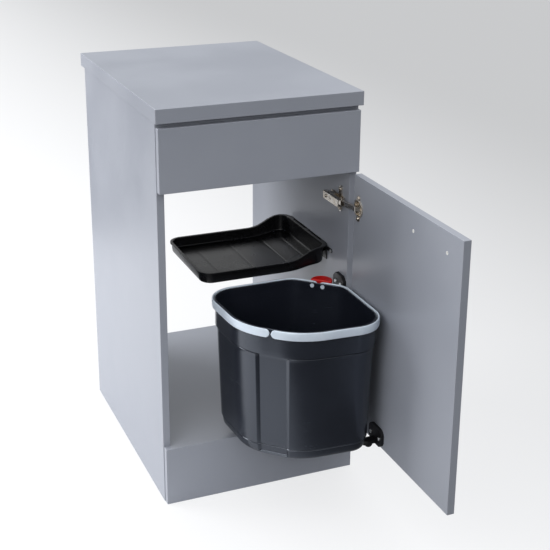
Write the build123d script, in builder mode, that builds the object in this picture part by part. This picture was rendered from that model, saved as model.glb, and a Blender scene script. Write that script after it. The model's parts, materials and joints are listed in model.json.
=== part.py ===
from build123d import *
import math
import os

os.makedirs("parts", exist_ok=True)

# Fitted base unit with a swing-out waste bucket, door open at a right angle.
# Millimetres, +Z up, fronts towards -Y. The origin is the middle of the plinth's foot.

# Carcass and fronts
unit_width = 450.0            # worktop, left to right
worktop_depth = 600.0
worktop_height = 880.0        # ground to the top face
worktop_thickness = 30.0
board = 16.0                  # thickness of every panel and front
side_overhang = 3.5           # worktop past each side panel
front_overhang = 2.0          # worktop past the fronts
back_overhang = 20.0          # worktop past the back of the carcass
front_inset = 1.5             # fronts inside the outer faces of the side panels
plinth_height = 133.0
floor_top = 130.0
floor_setback = 2.0           # shadow gap between the plinth and the floor panel
fascia_height = 134.0
fascia_gap = 10.0             # open groove under the worktop
front_gap = 3.0               # between fascia, door and plinth
rail_height = 100.0
edge_round = 1.0              # softened edges of fronts and worktop

# Door and its swing
door_clearance = 1.5          # closed door to the carcass
axis_out = 3.0                # swing axis past the closed door's hinge edge
axis_in = 1.5                 # swing axis behind the closed door's outer face
handle_spacing = 128.0
handle_hole = 5.0
handle_edge = 55.0            # first hole to the free edge
handle_drop = 42.0            # holes below the door's top

# Concealed hinges
hinge_inset = 70.0            # cup centre to the door's top or bottom edge
cup_backset = 22.0            # cup centre to the door's hinge edge
cup_diameter = 35.0
cup_depth = 12.0
cup_wall = 1.5
flange_thickness = 1.5
flange_length = 58.0
flange_width = 14.0
flange_lip = 2.5              # round flange past the cup
flange_screw_spacing = 45.0
hinge_pin_diameter = 3.0
hinge_pin_depth = 3.5         # pin below the door's inner face
hinge_pin_clearance = 0.08
link_width = 8.0
link_height = 10.0
link_elbow = (-9.0, 4.0)      # from the hinge pin, in X and Y
link_end = (-18.0, 49.0)
arm_length = 78.0
arm_start = 4.0               # behind the carcass front edge
arm_reach = 20.5              # outer face of the arm to the plate
arm_cheek = 10.0              # depth of the arm's channel, open towards the wall
arm_height = 16.4
arm_sheet = 1.5
arm_round = 2.0
adjuster_hole = 5.0           # in the arm's face
adjuster_offset = 7.0         # behind the plate screws
saddle_length = 22.0          # block of the plate inside the arm
saddle_gap = 0.2
plate_thickness = 3.5
plate_setback = 37.0          # plate screws behind the carcass front edge
plate_screw_spacing = 44.0
plate_body = (34.0, 16.0)
plate_wing = (12.0, 58.0)
plate_corner = 3.0
arm_screw_offset = 28.0       # clamping screw behind the plate screws

# Bucket, measured from its own swing axis towards the nose and across
axis_to_wall = 42.5
axis_setback = 39.0           # swing axis behind the carcass front edge
bucket_back = 23.0            # axis to the flat back
bucket_side = 26.4            # axis to each flat side
bucket_nose = 289.0           # axis to the flat nose
bucket_corner = 203.0         # half width at the unrounded corners
nose_half = 66.0              # half width of the unrounded nose
back_radius = 40.0
corner_radius = 58.0
nose_radius = 130.0
bucket_height = 296.0
foot_height = 24.0
collar_height = 59.0
bucket_wall = 3.0
bucket_floor = 4.0
foot_inset = 19.5             # sole inside the rim
foot_round = 6.0              # height of the bevel round the sole
foot_bevel = 3.5              # and its width
crease_inset = 14.0
body_low_inset = 11.5
body_high_inset = 4.5
panel_half = 30.0             # flat panel let into the nose
panel_bevel = 8.0
panel_sink = 5.5
panel_margin = 1.5            # panel's ends to the foot and the collar

# Handles and their rivets
band_height = 20.0
band_thickness = 4.0
band_gap = 3.0                # bucket collar to band
band_rise = 3.0               # band above the rim
rivet_offset = 12.0           # each side of the middle plane
rivet_diameter = 5.0
rivet_head = 9.0
rivet_head_height = 1.5
rivet_depth = 3.0             # into the band
boss_diameter = 13.0

# Hanger, hook pocket, wall bracket and catch
pin_diameter = 8.0
eye_radius = 12.0
eye_height = 12.0
tongue_height = 13.4
pocket_depth = 11.0
pocket_half = 25.0
pocket_height = 30.0
pocket_wall = 2.5
pocket_drop = 4.0             # pocket top below the band
hook_clearance = 0.3
hanger_web = 15.0             # half width of the spine
post_half = 13.0
post_setback = 2.0            # post in front of the eye's far side
bracket_thickness = 8.0
bracket_front = 2.0           # bracket behind the carcass front edge
bracket_depth = 50.0
bracket_top_rise = 8.0        # bracket top above the band
bracket_drop = 14.0           # bracket foot below the lower eye
bracket_chamfer = 10.0
bracket_screw_edge = 12.0     # first screw to the bracket's front edge
bracket_screw_spacing = 24.0
bracket_screw_top = 19.0
bracket_screw_foot = 14.0
catch_radius = 24.0
catch_chord = 4.0             # straight side past the axis
catch_plate = 8.0
catch_round = 2.0
catch_slider = 9.0            # half width
catch_neck = 7.0              # half width
slider_height = 3.2
catch_rise = 4.0              # catch plate below the band's top

# Pull link between door and bucket
knob_clearance = 2.5          # above the plinth
knob_height = 4.0
knob_diameter = 14.0
knob_round = 2.4
link_pin_diameter = 8.0
pull_link_width = 18.0
pull_link_thickness = 5.5
lug_thickness = 6.0
lug_radius = 11.0
pull_pin_inset = 21.5         # pin to the door's inner face
pull_pin_reach = 144.0        # pin to the door's hinge edge
door_plate_thickness = 6.0
door_plate_length = 60.0
door_plate_height = 42.0
door_plate_lift = 3.0         # above the door's lower edge
door_plate_round = 16.0
door_screw_spacing = 38.0
door_screw_lift = 20.0
sole_clearance = 2.0          # bucket sole above the lug
shoulder_diameter = 16.0
peg_height = 12.0
socket_boss = 18.0
socket_clearance = 0.2

# Tray and its rail
lid_gap = 4.0                 # tray above the handles
tray_width = 294.0
tray_depth = 240.0
tray_front = 84.0             # behind the carcass front edge
tray_wall_gap = 9.5           # tray end to the side wall
tray_wall = 2.5
tray_low = 26.0               # wall height at the left
tray_high = 51.0              # wall height at the raised end
tray_floor_rise = 10.0        # sole is higher under the raised end
tray_radius = 28.0
tray_lip = 4.0
tray_lip_height = 4.0
rise_length = 92.0            # length of the curved rise
rise_flat = 8.0               # level stretch at the raised end
groove_width = 2.0
groove_depth = 0.8
groove_start = 56.0           # first groove to the tray's left end
groove_margin = 10.5          # groove ends to the outer face
groove_pitch = 82.0
groove_count = 2
hook_margin = 34.0            # hook inside the tray's corners
hook_sheet = 2.0
hook_drop = 16.0
hook_gap = 1.0                # hook to the rail
rail_gap = 3.5                # tray wall to the rail
hook_slot = (4.0, 72.0)
hook_slot_pitch = 84.0
rail_sheet = 2.0
rail_strip = 20.0
rail_foot = 15.0
rail_ear = 9.0                # height of the ear beside the tray's corner
rail_ear_drop = 3.0           # ear below the strip's top
rail_ear_length = 42.0        # ear in front of the strip
rail_post = 14.0              # upright that carries the ear
rail_screw_margin = 10.0      # foot screw before the rail's end

# Fixings
hole_clearance = 0.05
screw_diameter = 4.0
screw_grip = 12.0             # thread in a board
screw_head = 8.0
screw_head_height = 2.5
clamp_head = 6.5
clamp_grip = 10.0             # thread in the saddle
head_round = 1.0
recess_span = 4.2
recess_width = 1.0
recess_depth = 1.0
running_gap = 0.3
dowel_diameter = 8.0
dowel_in_panel = 10.0
dowel_length = 30.0
dowel_margin = 60.0
rail_dowel_margin = 25.0
angle_leg = 30.0
angle_width = 40.0
angle_sheet = 2.0
angle_margin = 140.0
angle_screw_offset = 17.0
block_side = 18.0
block_height = 90.0
block_lift = 20.0
block_screw_margin = 20.0
fascia_screw_reach = 150.0    # each side of the middle
fascia_screw_margin = 20.0

# Places that follow from these sizes
worktop_front = -board / 2 - front_overhang
carcass_front = board / 2
carcass_back = worktop_front + worktop_depth - back_overhang
carcass_depth = carcass_back - carcass_front
carcass_half = unit_width / 2 - side_overhang
wall_x = carcass_half - board
carcass_top = worktop_height - worktop_thickness
front_half = carcass_half - front_inset
fascia_top = carcass_top - fascia_gap
fascia_bottom = fascia_top - fascia_height
rail_bottom = carcass_top - rail_height
door_top = fascia_bottom - front_gap
door_bottom = plinth_height + front_gap
door_width = 2 * front_half
door_height = door_top - door_bottom
door_middle = (door_top + door_bottom) / 2

closed_inner = carcass_front - door_clearance
closed_outer = closed_inner - board
door_axis_x = front_half + axis_out
door_axis_y = closed_outer + axis_in
door_inner = door_axis_x - (closed_inner - door_axis_y)
door_hinge_edge = door_axis_y - axis_out
door_free_edge = door_hinge_edge - door_width
hinge_heights = {"lower": door_bottom + hinge_inset, "upper": door_top - hinge_inset}
cup_y = door_hinge_edge - cup_backset
hinge_pin_x = door_inner + hinge_pin_depth
plate_y = carcass_front + plate_setback
arm_y = carcass_front + arm_start

bin_axis_x = wall_x - axis_to_wall
bin_axis_y = carcass_front + axis_setback

knob_bottom = plinth_height + knob_clearance
pull_link_bottom = knob_bottom + knob_height + running_gap
pull_link_top = pull_link_bottom + pull_link_thickness
lug_bottom = pull_link_top + running_gap
lug_top = lug_bottom + lug_thickness
bucket_bottom = lug_top + sole_clearance
pull_pin_x = door_inner - pull_pin_inset
pull_pin_y = door_hinge_edge - pull_pin_reach
peg_x = pull_pin_x + bin_axis_x - door_axis_x
peg_y = pull_pin_y + bin_axis_y - door_axis_y
door_plate_bottom = door_bottom + door_plate_lift

rim = bucket_bottom + bucket_height
collar_bottom = rim - collar_height
crease = bucket_bottom + foot_height
band_top = rim + band_rise
band_bottom = band_top - band_height
rivet_level = band_top - band_height / 2
pocket_top = band_bottom - pocket_drop
pocket_bottom = pocket_top - pocket_height
pocket_outer = bucket_back - pocket_depth
slot_near = pocket_outer + pocket_wall
slot_far = bucket_back - pocket_wall
upper_eye_top = pocket_bottom - eye_height
tongue_top = upper_eye_top - eye_height - running_gap
tongue_bottom = tongue_top - tongue_height
lower_eye_top = tongue_bottom - running_gap
lower_eye_bottom = lower_eye_top - eye_height
bracket_x = wall_x - bracket_thickness
bracket_y = carcass_front + bracket_front
bracket_top = band_top + bracket_top_rise
bracket_bottom = lower_eye_bottom - bracket_drop
catch_top = band_top - catch_rise
slider_bottom = pocket_top + running_gap
post_start = post_setback - eye_radius
post_end = pocket_outer - hook_clearance

tray_bottom = band_top + lid_gap
tray_right = wall_x - tray_wall_gap
tray_left = tray_right - tray_width
tray_y = carcass_front + tray_front
tray_back = tray_y + tray_depth
tray_top = tray_bottom + tray_high
strip_x = tray_right + rail_gap
hook_far = strip_x + rail_sheet + hook_gap + hook_sheet
strip_top = tray_top - tray_lip_height - running_gap
strip_bottom = strip_top - rail_strip


# Shared shapes

def facing(points, direction):
    """Places at the points whose Z axis runs along the direction."""
    return [Plane(origin=point, z_dir=direction).location for point in points]


def make_screw(length, head):
    """Pan-head screw along Z: head above the origin, shank below, a cross recess in the head."""
    with BuildPart() as screw:
        Cylinder(screw_diameter / 2, length, align=(Align.CENTER, Align.CENTER, Align.MAX))
        Cylinder(head / 2, screw_head_height, align=(Align.CENTER, Align.CENTER, Align.MIN))
        fillet(screw.edges().sort_by(Axis.Z)[-1], head_round)
        with Locations((0, 0, screw_head_height)):
            Box(recess_span, recess_width, 2 * recess_depth, mode=Mode.SUBTRACT)
            Box(recess_width, recess_span, 2 * recess_depth, mode=Mode.SUBTRACT)
    return screw.part


def bin_plane(height):
    """Level plane on the bucket's swing axis: X runs to the nose, Y across the bucket."""
    return Plane(origin=(bin_axis_x, bin_axis_y, height), x_dir=(-1, -1, 0), z_dir=(0, 0, 1))


def bin_spot(along, across, height, turn=(0, 0, 0)):
    """Place in the bucket's own directions."""
    return bin_plane(height).location * Location((along, across, 0), turn)


def bucket_corners(inset):
    """Corners of the bucket's plan before rounding, moved inwards by the inset."""
    back = bucket_back + inset
    nose = bucket_nose - inset
    side = (bucket_side - inset) * math.sqrt(2)
    corner_along = bucket_corner - bucket_side * math.sqrt(2)
    run = bucket_nose - corner_along
    fall = bucket_corner - nose_half
    length = math.hypot(run, fall)
    reach = (fall * corner_along + run * bucket_corner) / length - inset
    along = (reach * length - run * side) / (fall + run)
    across = (reach * length - fall * nose) / run
    half = [(back, back + side), (along, along + side), (nose, across)]
    return half + [(x, -y) for x, y in reversed(half)]


def bucket_section(inset, height):
    """Rounded plan of the bucket at a height."""
    radii = [back_radius - inset, corner_radius - inset, nose_radius - inset]
    with BuildSketch(bin_plane(height)) as section:
        with BuildLine():
            FilletPolyline(*bucket_corners(inset), radius=radii + radii[::-1], close=True)
        make_face()
    return section.sketch


def bar(start, end, width, height, level):
    """Round-ended flat bar between two points in plan."""
    run = end[0] - start[0]
    rise = end[1] - start[1]
    middle = ((start[0] + end[0]) / 2, (start[1] + end[1]) / 2)
    with BuildPart() as piece:
        with BuildSketch(Plane.XY.offset(level)):
            with Locations(middle):
                SlotCenterToCenter(math.hypot(run, rise), width, math.degrees(math.atan2(rise, run)))
        extrude(amount=height)
    return piece.part


def tray_plan(margin, right_margin, bottom, top):
    """Upright prism on the tray's rounded plan, grown by the margin, at the right end by its own."""
    middle = (tray_left - margin + tray_right + right_margin) / 2
    length = tray_width + margin + right_margin
    with BuildPart() as prism:
        with BuildSketch(Plane.XY.offset(bottom)):
            with Locations((middle, (tray_y + tray_back) / 2)):
                RectangleRounded(length, tray_depth + 2 * margin, tray_radius + margin)
        extrude(amount=top - bottom)
    return prism.part


def tray_profile(low_start, low_end, high_start, high_end):
    """Sheet of the tray's side view between a lower and an upper curve, extruded over its depth."""
    margin = 3 * tray_lip
    left = tray_left - margin
    right = tray_right + margin
    rise_end = tray_right - rise_flat
    rise_start = rise_end - rise_length
    bend = (rise_start + rise_end) / 2
    with BuildPart() as sheet:
        with BuildSketch(Plane.XZ.offset(-tray_back - margin)):
            with BuildLine():
                Polyline((left, high_start), (left, low_start), (rise_start, low_start))
                Bezier((rise_start, low_start), (bend, low_start), (bend, low_end), (rise_end, low_end))
                Polyline((rise_end, low_end), (right, low_end), (right, high_end), (rise_end, high_end))
                Bezier((rise_end, high_end), (bend, high_end), (bend, high_start), (rise_start, high_start))
                Line((rise_start, high_start), (left, high_start))
            make_face()
        extrude(amount=tray_depth + 2 * margin)
    return sheet.part


angle_screw = make_screw(angle_sheet + screw_grip, screw_head)
fascia_screw = make_screw(board + screw_grip, screw_head)
block_screw = make_screw(block_side + screw_grip, screw_head)
cup_screw = make_screw(flange_thickness + screw_grip, screw_head)
plate_screw = make_screw(plate_thickness + screw_grip, screw_head)
clamp_screw = make_screw(arm_sheet + clamp_grip, clamp_head)
door_screw = make_screw(door_plate_thickness + screw_grip, screw_head)
bracket_screw = make_screw(bracket_thickness + screw_grip, screw_head)
rail_screw = make_screw(rail_sheet + screw_grip, screw_head)
screw_hole = screw_diameter / 2 + hole_clearance
screw_depth = screw_grip + running_gap

# Places of the fixings
floor_middle = floor_top - board / 2
rail_middles = [carcass_front + board / 2, carcass_back - board / 2]
floor_dowel_rows = [
    carcass_front + dowel_margin,
    (carcass_front + carcass_back) / 2,
    carcass_back - dowel_margin,
]
rail_dowel_levels = [rail_bottom + rail_dowel_margin, carcass_top - rail_dowel_margin]
dowel_spots = [(y, floor_middle) for y in floor_dowel_rows]
dowel_spots += [(y, z) for y in rail_middles for z in rail_dowel_levels]
angle_rows = [carcass_front + angle_margin, carcass_back - angle_margin]
fascia_screw_spots = [
    (x, carcass_front + board, z)
    for x in (-fascia_screw_reach, fascia_screw_reach)
    for z in (rail_bottom + fascia_screw_margin, fascia_top - fascia_screw_margin)
]
block_top = block_lift + block_height
block_screw_spots = [
    (side * (wall_x - block_side / 2), carcass_front + block_side, z)
    for side in (-1, 1)
    for z in (block_lift + block_screw_margin, block_top - block_screw_margin)
]
plate_screw_levels = [
    level + side * plate_screw_spacing / 2
    for level in hinge_heights.values()
    for side in (-1, 1)
]
bracket_screw_spots = [
    (bracket_y + bracket_screw_edge + step, level)
    for level in (bracket_top - bracket_screw_top, bracket_bottom + bracket_screw_foot)
    for step in (0, bracket_screw_spacing)
]
rail_start = tray_y + hook_margin
rail_ear_top = strip_top - rail_ear_drop
rail_front = rail_start - rail_ear_length
rail_back = tray_back - hook_margin
rail_screw_spots = [
    (rail_front + rail_ear / 2, rail_ear_top - rail_ear / 2),
    (tray_y + tray_depth / 2, strip_bottom - rail_foot / 2),
    (rail_back - rail_screw_margin, strip_bottom - rail_foot / 2),
]
door_plate_middle = pull_pin_y
door_screw_spots = [
    (door_plate_middle + side * door_screw_spacing / 2, door_plate_bottom + door_screw_lift)
    for side in (-1, 1)
]


# Worktop

with BuildPart() as worktop:
    with Locations((0, worktop_front + worktop_depth / 2, carcass_top)):
        Box(unit_width, worktop_depth, worktop_thickness, align=(Align.CENTER, Align.CENTER, Align.MIN))
    fillet(worktop.edges(), edge_round)
    for side in (-1, 1):
        angle_x = side * (wall_x - angle_screw_offset)
        with Locations(*facing([(angle_x, y, carcass_top) for y in angle_rows], (0, 0, -1))):
            Hole(screw_hole, screw_depth)
worktop.part.label = "worktop"
export_step(worktop.part, "parts/worktop.step")


# Side panels

for side, name in ((-1, "side_panel_left"), (1, "side_panel_right")):
    with BuildPart() as side_panel:
        with Locations((side * (wall_x + board / 2), (carcass_front + carcass_back) / 2, 0)):
            Box(board, carcass_depth, carcass_top, align=(Align.CENTER, Align.CENTER, Align.MIN))
        fillet(side_panel.edges().filter_by(Axis.Z), edge_round)
        with Locations(*facing([(side * wall_x, y, z) for y, z in dowel_spots], (-side, 0, 0))):
            Hole(dowel_diameter / 2 + hole_clearance, dowel_in_panel + running_gap)
        angle_level = carcass_top - angle_screw_offset
        with Locations(*facing([(side * wall_x, y, angle_level) for y in angle_rows], (-side, 0, 0))):
            Hole(screw_hole, screw_depth)
        if side > 0:
            wall_holes = [(wall_x, plate_y, z) for z in plate_screw_levels]
            wall_holes += [(wall_x, y, z) for y, z in bracket_screw_spots + rail_screw_spots]
            with Locations(*facing(wall_holes, (-1, 0, 0))):
                Hole(screw_hole, screw_depth)
    side_panel.part.label = name
    export_step(side_panel.part, f"parts/{name}.step")


# Floor panel and rails between the side panels

with BuildPart() as floor_panel:
    floor_front = carcass_front + floor_setback
    with Locations((0, (floor_front + carcass_back) / 2, floor_top)):
        Box(2 * wall_x, carcass_back - floor_front, board, align=(Align.CENTER, Align.CENTER, Align.MAX))
    for side in (-1, 1):
        ends = [(side * wall_x, y, floor_middle) for y in floor_dowel_rows]
        with Locations(*facing(ends, (side, 0, 0))):
            Hole(dowel_diameter / 2 + hole_clearance, dowel_length - dowel_in_panel + running_gap)
floor_panel.part.label = "floor_panel"
export_step(floor_panel.part, "parts/floor_panel.step")

for row, name in zip(rail_middles, ("front_rail", "back_rail")):
    with BuildPart() as rail:
        with Locations((0, row, carcass_top)):
            Box(2 * wall_x, board, rail_height, align=(Align.CENTER, Align.CENTER, Align.MAX))
        for side in (-1, 1):
            ends = [(side * wall_x, row, z) for z in rail_dowel_levels]
            with Locations(*facing(ends, (side, 0, 0))):
                Hole(dowel_diameter / 2 + hole_clearance, dowel_length - dowel_in_panel + running_gap)
        if name == "front_rail":
            with Locations(*facing(fascia_screw_spots, (0, 1, 0))):
                Hole(screw_hole, board)
    rail.part.label = name
    export_step(rail.part, f"parts/{name}.step")

with BuildPart() as carcass_dowels:
    for side in (-1, 1):
        middle_x = side * (wall_x + dowel_in_panel - dowel_length / 2)
        with Locations(*facing([(middle_x, y, z) for y, z in dowel_spots], (1, 0, 0))):
            Cylinder(dowel_diameter / 2, dowel_length)
carcass_dowels.part.label = "carcass_dowels"
export_step(carcass_dowels.part, "parts/carcass_dowels.step")


# Angle brackets under the worktop

with BuildPart() as worktop_brackets:
    for side in (-1, 1):
        for row in angle_rows:
            with BuildSketch(Plane.XZ.offset(-row - angle_width / 2)):
                with BuildLine():
                    Polyline(
                        (side * wall_x, carcass_top),
                        (side * (wall_x - angle_leg), carcass_top),
                        (side * (wall_x - angle_leg), carcass_top - angle_sheet),
                        (side * (wall_x - angle_sheet), carcass_top - angle_sheet),
                        (side * (wall_x - angle_sheet), carcass_top - angle_leg),
                        (side * wall_x, carcass_top - angle_leg),
                        close=True,
                    )
                make_face()
            extrude(amount=angle_width)
        angle_x = side * (wall_x - angle_screw_offset)
        with Locations(*facing([(angle_x, y, carcass_top) for y in angle_rows], (0, 0, 1))):
            Hole(screw_hole, angle_sheet)
        angle_level = carcass_top - angle_screw_offset
        with Locations(*facing([(side * wall_x, y, angle_level) for y in angle_rows], (side, 0, 0))):
            Hole(screw_hole, angle_sheet)
worktop_brackets.part.label = "worktop_brackets"
export_step(worktop_brackets.part, "parts/worktop_brackets.step")

with BuildPart() as worktop_bracket_screws:
    for side in (-1, 1):
        angle_x = side * (wall_x - angle_screw_offset)
        under = carcass_top - angle_sheet
        with Locations(*facing([(angle_x, y, under) for y in angle_rows], (0, 0, -1))):
            add(angle_screw)
        inside = side * (wall_x - angle_sheet)
        angle_level = carcass_top - angle_screw_offset
        with Locations(*facing([(inside, y, angle_level) for y in angle_rows], (-side, 0, 0))):
            add(angle_screw)
worktop_bracket_screws.part.label = "worktop_bracket_screws"
export_step(worktop_bracket_screws.part, "parts/worktop_bracket_screws.step")


# Fixed fronts

with BuildPart() as fascia:
    with Locations((0, 0, fascia_bottom)):
        Box(door_width, board, fascia_height, align=(Align.CENTER, Align.CENTER, Align.MIN))
    fillet(fascia.edges(), edge_round)
    with Locations(*facing(fascia_screw_spots, (0, 1, 0))):
        Hole(screw_hole, board + screw_depth)
fascia.part.label = "fascia"
export_step(fascia.part, "parts/fascia.step")

with BuildPart() as fascia_screws:
    with Locations(*facing(fascia_screw_spots, (0, 1, 0))):
        add(fascia_screw)
fascia_screws.part.label = "fascia_screws"
export_step(fascia_screws.part, "parts/fascia_screws.step")

with BuildPart() as plinth:
    Box(door_width, board, plinth_height, align=(Align.CENTER, Align.CENTER, Align.MIN))
    fillet(plinth.edges().group_by(Axis.Z)[1:], edge_round)
    with Locations(*facing(block_screw_spots, (0, 1, 0))):
        Hole(screw_hole, block_side + screw_depth)
plinth.part.label = "plinth"
export_step(plinth.part, "parts/plinth.step")

with BuildPart() as plinth_blocks:
    for side in (-1, 1):
        with Locations((side * (wall_x - block_side / 2), carcass_front + block_side / 2, block_lift)):
            Box(block_side, block_side, block_height, align=(Align.CENTER, Align.CENTER, Align.MIN))
    with Locations(*facing(block_screw_spots, (0, 1, 0))):
        Hole(screw_hole, block_side)
plinth_blocks.part.label = "plinth_blocks"
export_step(plinth_blocks.part, "parts/plinth_blocks.step")

with BuildPart() as plinth_screws:
    with Locations(*facing(block_screw_spots, (0, 1, 0))):
        add(block_screw)
plinth_screws.part.label = "plinth_screws"
export_step(plinth_screws.part, "parts/plinth_screws.step")


# Door, standing open

def door_plane(y, z):
    """Plane on the door's inner face: X away from the hinge edge, Y up, Z out of the face."""
    return Plane(origin=(door_inner, y, z), x_dir=(0, -1, 0), z_dir=(-1, 0, 0))


with BuildPart() as door:
    with Locations((door_inner + board / 2, (door_hinge_edge + door_free_edge) / 2, door_bottom)):
        Box(board, door_width, door_height, align=(Align.CENTER, Align.CENTER, Align.MIN))
    fillet(door.edges(), edge_round)
    holes = [
        (door_inner, door_free_edge + handle_edge + step, door_top - handle_drop)
        for step in (0, handle_spacing)
    ]
    with Locations(*facing(holes, (-1, 0, 0))):
        Hole(handle_hole / 2, board)
    for level in hinge_heights.values():
        with Locations(door_plane(cup_y, level).location):
            Hole(cup_diameter / 2 + hole_clearance, cup_depth + hole_clearance)
            with Locations((0, -flange_screw_spacing / 2), (0, flange_screw_spacing / 2)):
                Hole(screw_hole, screw_depth)
    with Locations(*facing([(door_inner, y, z) for y, z in door_screw_spots], (-1, 0, 0))):
        Hole(screw_hole, screw_depth)
door.part.label = "door"
export_step(door.part, "parts/door.step")


# Concealed hinges

for name, level in hinge_heights.items():
    cup_plane = door_plane(cup_y, level)
    with BuildPart() as hinge_cup:
        with BuildSketch(cup_plane):
            SlotOverall(flange_length, flange_width, 90)
            Circle(cup_diameter / 2 + flange_lip)
            with Locations((0, -flange_screw_spacing / 2), (0, flange_screw_spacing / 2)):
                Circle(screw_hole, mode=Mode.SUBTRACT)
        extrude(amount=flange_thickness)
        with BuildSketch(cup_plane):
            Circle(cup_diameter / 2)
        extrude(amount=-cup_depth)
        with BuildSketch(cup_plane.offset(flange_thickness)):
            Circle(cup_diameter / 2 - cup_wall)
        extrude(amount=-(cup_depth + flange_thickness - cup_wall), mode=Mode.SUBTRACT)
        with Locations((hinge_pin_x, cup_y, level)):
            Cylinder(hinge_pin_diameter / 2, cup_diameter - cup_wall)
    hinge_cup.part.label = f"hinge_cup_{name}"
    export_step(hinge_cup.part, f"parts/hinge_cup_{name}.step")

    elbow = (hinge_pin_x + link_elbow[0], cup_y + link_elbow[1])
    far_end = (hinge_pin_x + link_end[0], cup_y + link_end[1])
    link_bottom = level - link_height / 2
    near_bar = bar((hinge_pin_x, cup_y), elbow, link_width, link_height, link_bottom)
    far_bar = bar(elbow, far_end, link_width, link_height, link_bottom)
    with BuildPart() as hinge_link:
        add(near_bar)
        add(far_bar)
        with Locations((hinge_pin_x, cup_y, level)):
            Cylinder(hinge_pin_diameter / 2 + hinge_pin_clearance, link_height, mode=Mode.SUBTRACT)
    hinge_link.part.label = f"hinge_link_{name}"
    export_step(hinge_link.part, f"parts/hinge_link_{name}.step")

    plate_face = wall_x - plate_thickness
    arm_face = plate_face - arm_reach
    saddle_face = arm_face + arm_sheet
    clamp_y = plate_y + arm_screw_offset
    with BuildPart() as hinge_plate:
        with BuildSketch(Plane(origin=(wall_x, plate_y, level), x_dir=(0, 1, 0), z_dir=(-1, 0, 0))):
            with Locations((arm_screw_offset / 2, 0)):
                RectangleRounded(plate_body[0] + arm_screw_offset, plate_body[1], plate_corner)
            SlotOverall(plate_wing[1], plate_wing[0], 90)
        extrude(amount=plate_thickness)
        with Locations((plate_face, clamp_y, level)):
            Box(
                plate_face - saddle_face, saddle_length, arm_height - 2 * (arm_sheet + saddle_gap),
                align=(Align.MAX, Align.CENTER, Align.CENTER),
            )
        spots = [(plate_face, plate_y, level + side * plate_screw_spacing / 2) for side in (-1, 1)]
        with Locations(*facing(spots, (-1, 0, 0))):
            Hole(screw_hole, plate_thickness)
        with Locations(*facing([(saddle_face, clamp_y, level)], (-1, 0, 0))):
            Hole(screw_hole, clamp_grip + running_gap)
    hinge_plate.part.label = f"hinge_plate_{name}"
    export_step(hinge_plate.part, f"parts/hinge_plate_{name}.step")

    with BuildPart() as hinge_arm:
        with Locations((arm_face, arm_y, level)):
            Box(arm_cheek, arm_length, arm_height, align=(Align.MIN, Align.MIN, Align.CENTER))
        fillet(hinge_arm.edges().filter_by(Axis.Z).group_by(Axis.X)[0], arm_round)
        with Locations((saddle_face, arm_y, level)):
            Box(
                arm_cheek, arm_length, arm_height - 2 * arm_sheet,
                align=(Align.MIN, Align.MIN, Align.CENTER), mode=Mode.SUBTRACT,
            )
        with Locations(*facing([(arm_face, clamp_y, level)], (-1, 0, 0))):
            Hole(screw_hole, arm_sheet)
        with Locations(*facing([(arm_face, plate_y + adjuster_offset, level)], (-1, 0, 0))):
            Hole(adjuster_hole / 2, arm_sheet)
    hinge_arm.part.label = f"hinge_arm_{name}"
    export_step(hinge_arm.part, f"parts/hinge_arm_{name}.step")

with BuildPart() as hinge_cup_screws:
    for level in hinge_heights.values():
        with Locations(door_plane(cup_y, level).offset(flange_thickness).location):
            with Locations((0, -flange_screw_spacing / 2), (0, flange_screw_spacing / 2)):
                add(cup_screw)
hinge_cup_screws.part.label = "hinge_cup_screws"
export_step(hinge_cup_screws.part, "parts/hinge_cup_screws.step")

with BuildPart() as hinge_plate_screws:
    spots = [(wall_x - plate_thickness, plate_y, z) for z in plate_screw_levels]
    with Locations(*facing(spots, (-1, 0, 0))):
        add(plate_screw)
hinge_plate_screws.part.label = "hinge_plate_screws"
export_step(hinge_plate_screws.part, "parts/hinge_plate_screws.step")

with BuildPart() as hinge_arm_screws:
    spots = [(arm_face, clamp_y, z) for z in hinge_heights.values()]
    with Locations(*facing(spots, (-1, 0, 0))):
        add(clamp_screw)
hinge_arm_screws.part.label = "hinge_arm_screws"
export_step(hinge_arm_screws.part, "parts/hinge_arm_screws.step")


# Door bracket, pull link and peg

lug = bar((door_inner, pull_pin_y), (pull_pin_x, pull_pin_y), 2 * lug_radius, lug_thickness, lug_bottom)
with BuildPart() as door_bracket:
    plate_middle = door_plate_bottom + door_plate_height / 2
    with BuildSketch(door_plane(door_plate_middle, plate_middle)):
        RectangleRounded(door_plate_length, door_plate_height, door_plate_round)
    extrude(amount=door_plate_thickness)
    add(lug)
    with Locations((door_inner, pull_pin_y, lug_bottom)):
        Box(
            2 * lug_radius, 4 * lug_radius, 4 * lug_thickness,
            align=(Align.MIN, Align.CENTER, Align.CENTER), mode=Mode.SUBTRACT,
        )
    with Locations((pull_pin_x, pull_pin_y, lug_bottom)):
        Cylinder(link_pin_diameter / 2 + hole_clearance, 4 * lug_thickness, mode=Mode.SUBTRACT)
    spots = [(door_inner - door_plate_thickness, y, z) for y, z in door_screw_spots]
    with Locations(*facing(spots, (-1, 0, 0))):
        Hole(screw_hole, door_plate_thickness)
door_bracket.part.label = "door_bracket"
export_step(door_bracket.part, "parts/door_bracket.step")

with BuildPart() as door_bracket_screws:
    with Locations(*facing(spots, (-1, 0, 0))):
        add(door_screw)
door_bracket_screws.part.label = "door_bracket_screws"
export_step(door_bracket_screws.part, "parts/door_bracket_screws.step")

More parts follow.
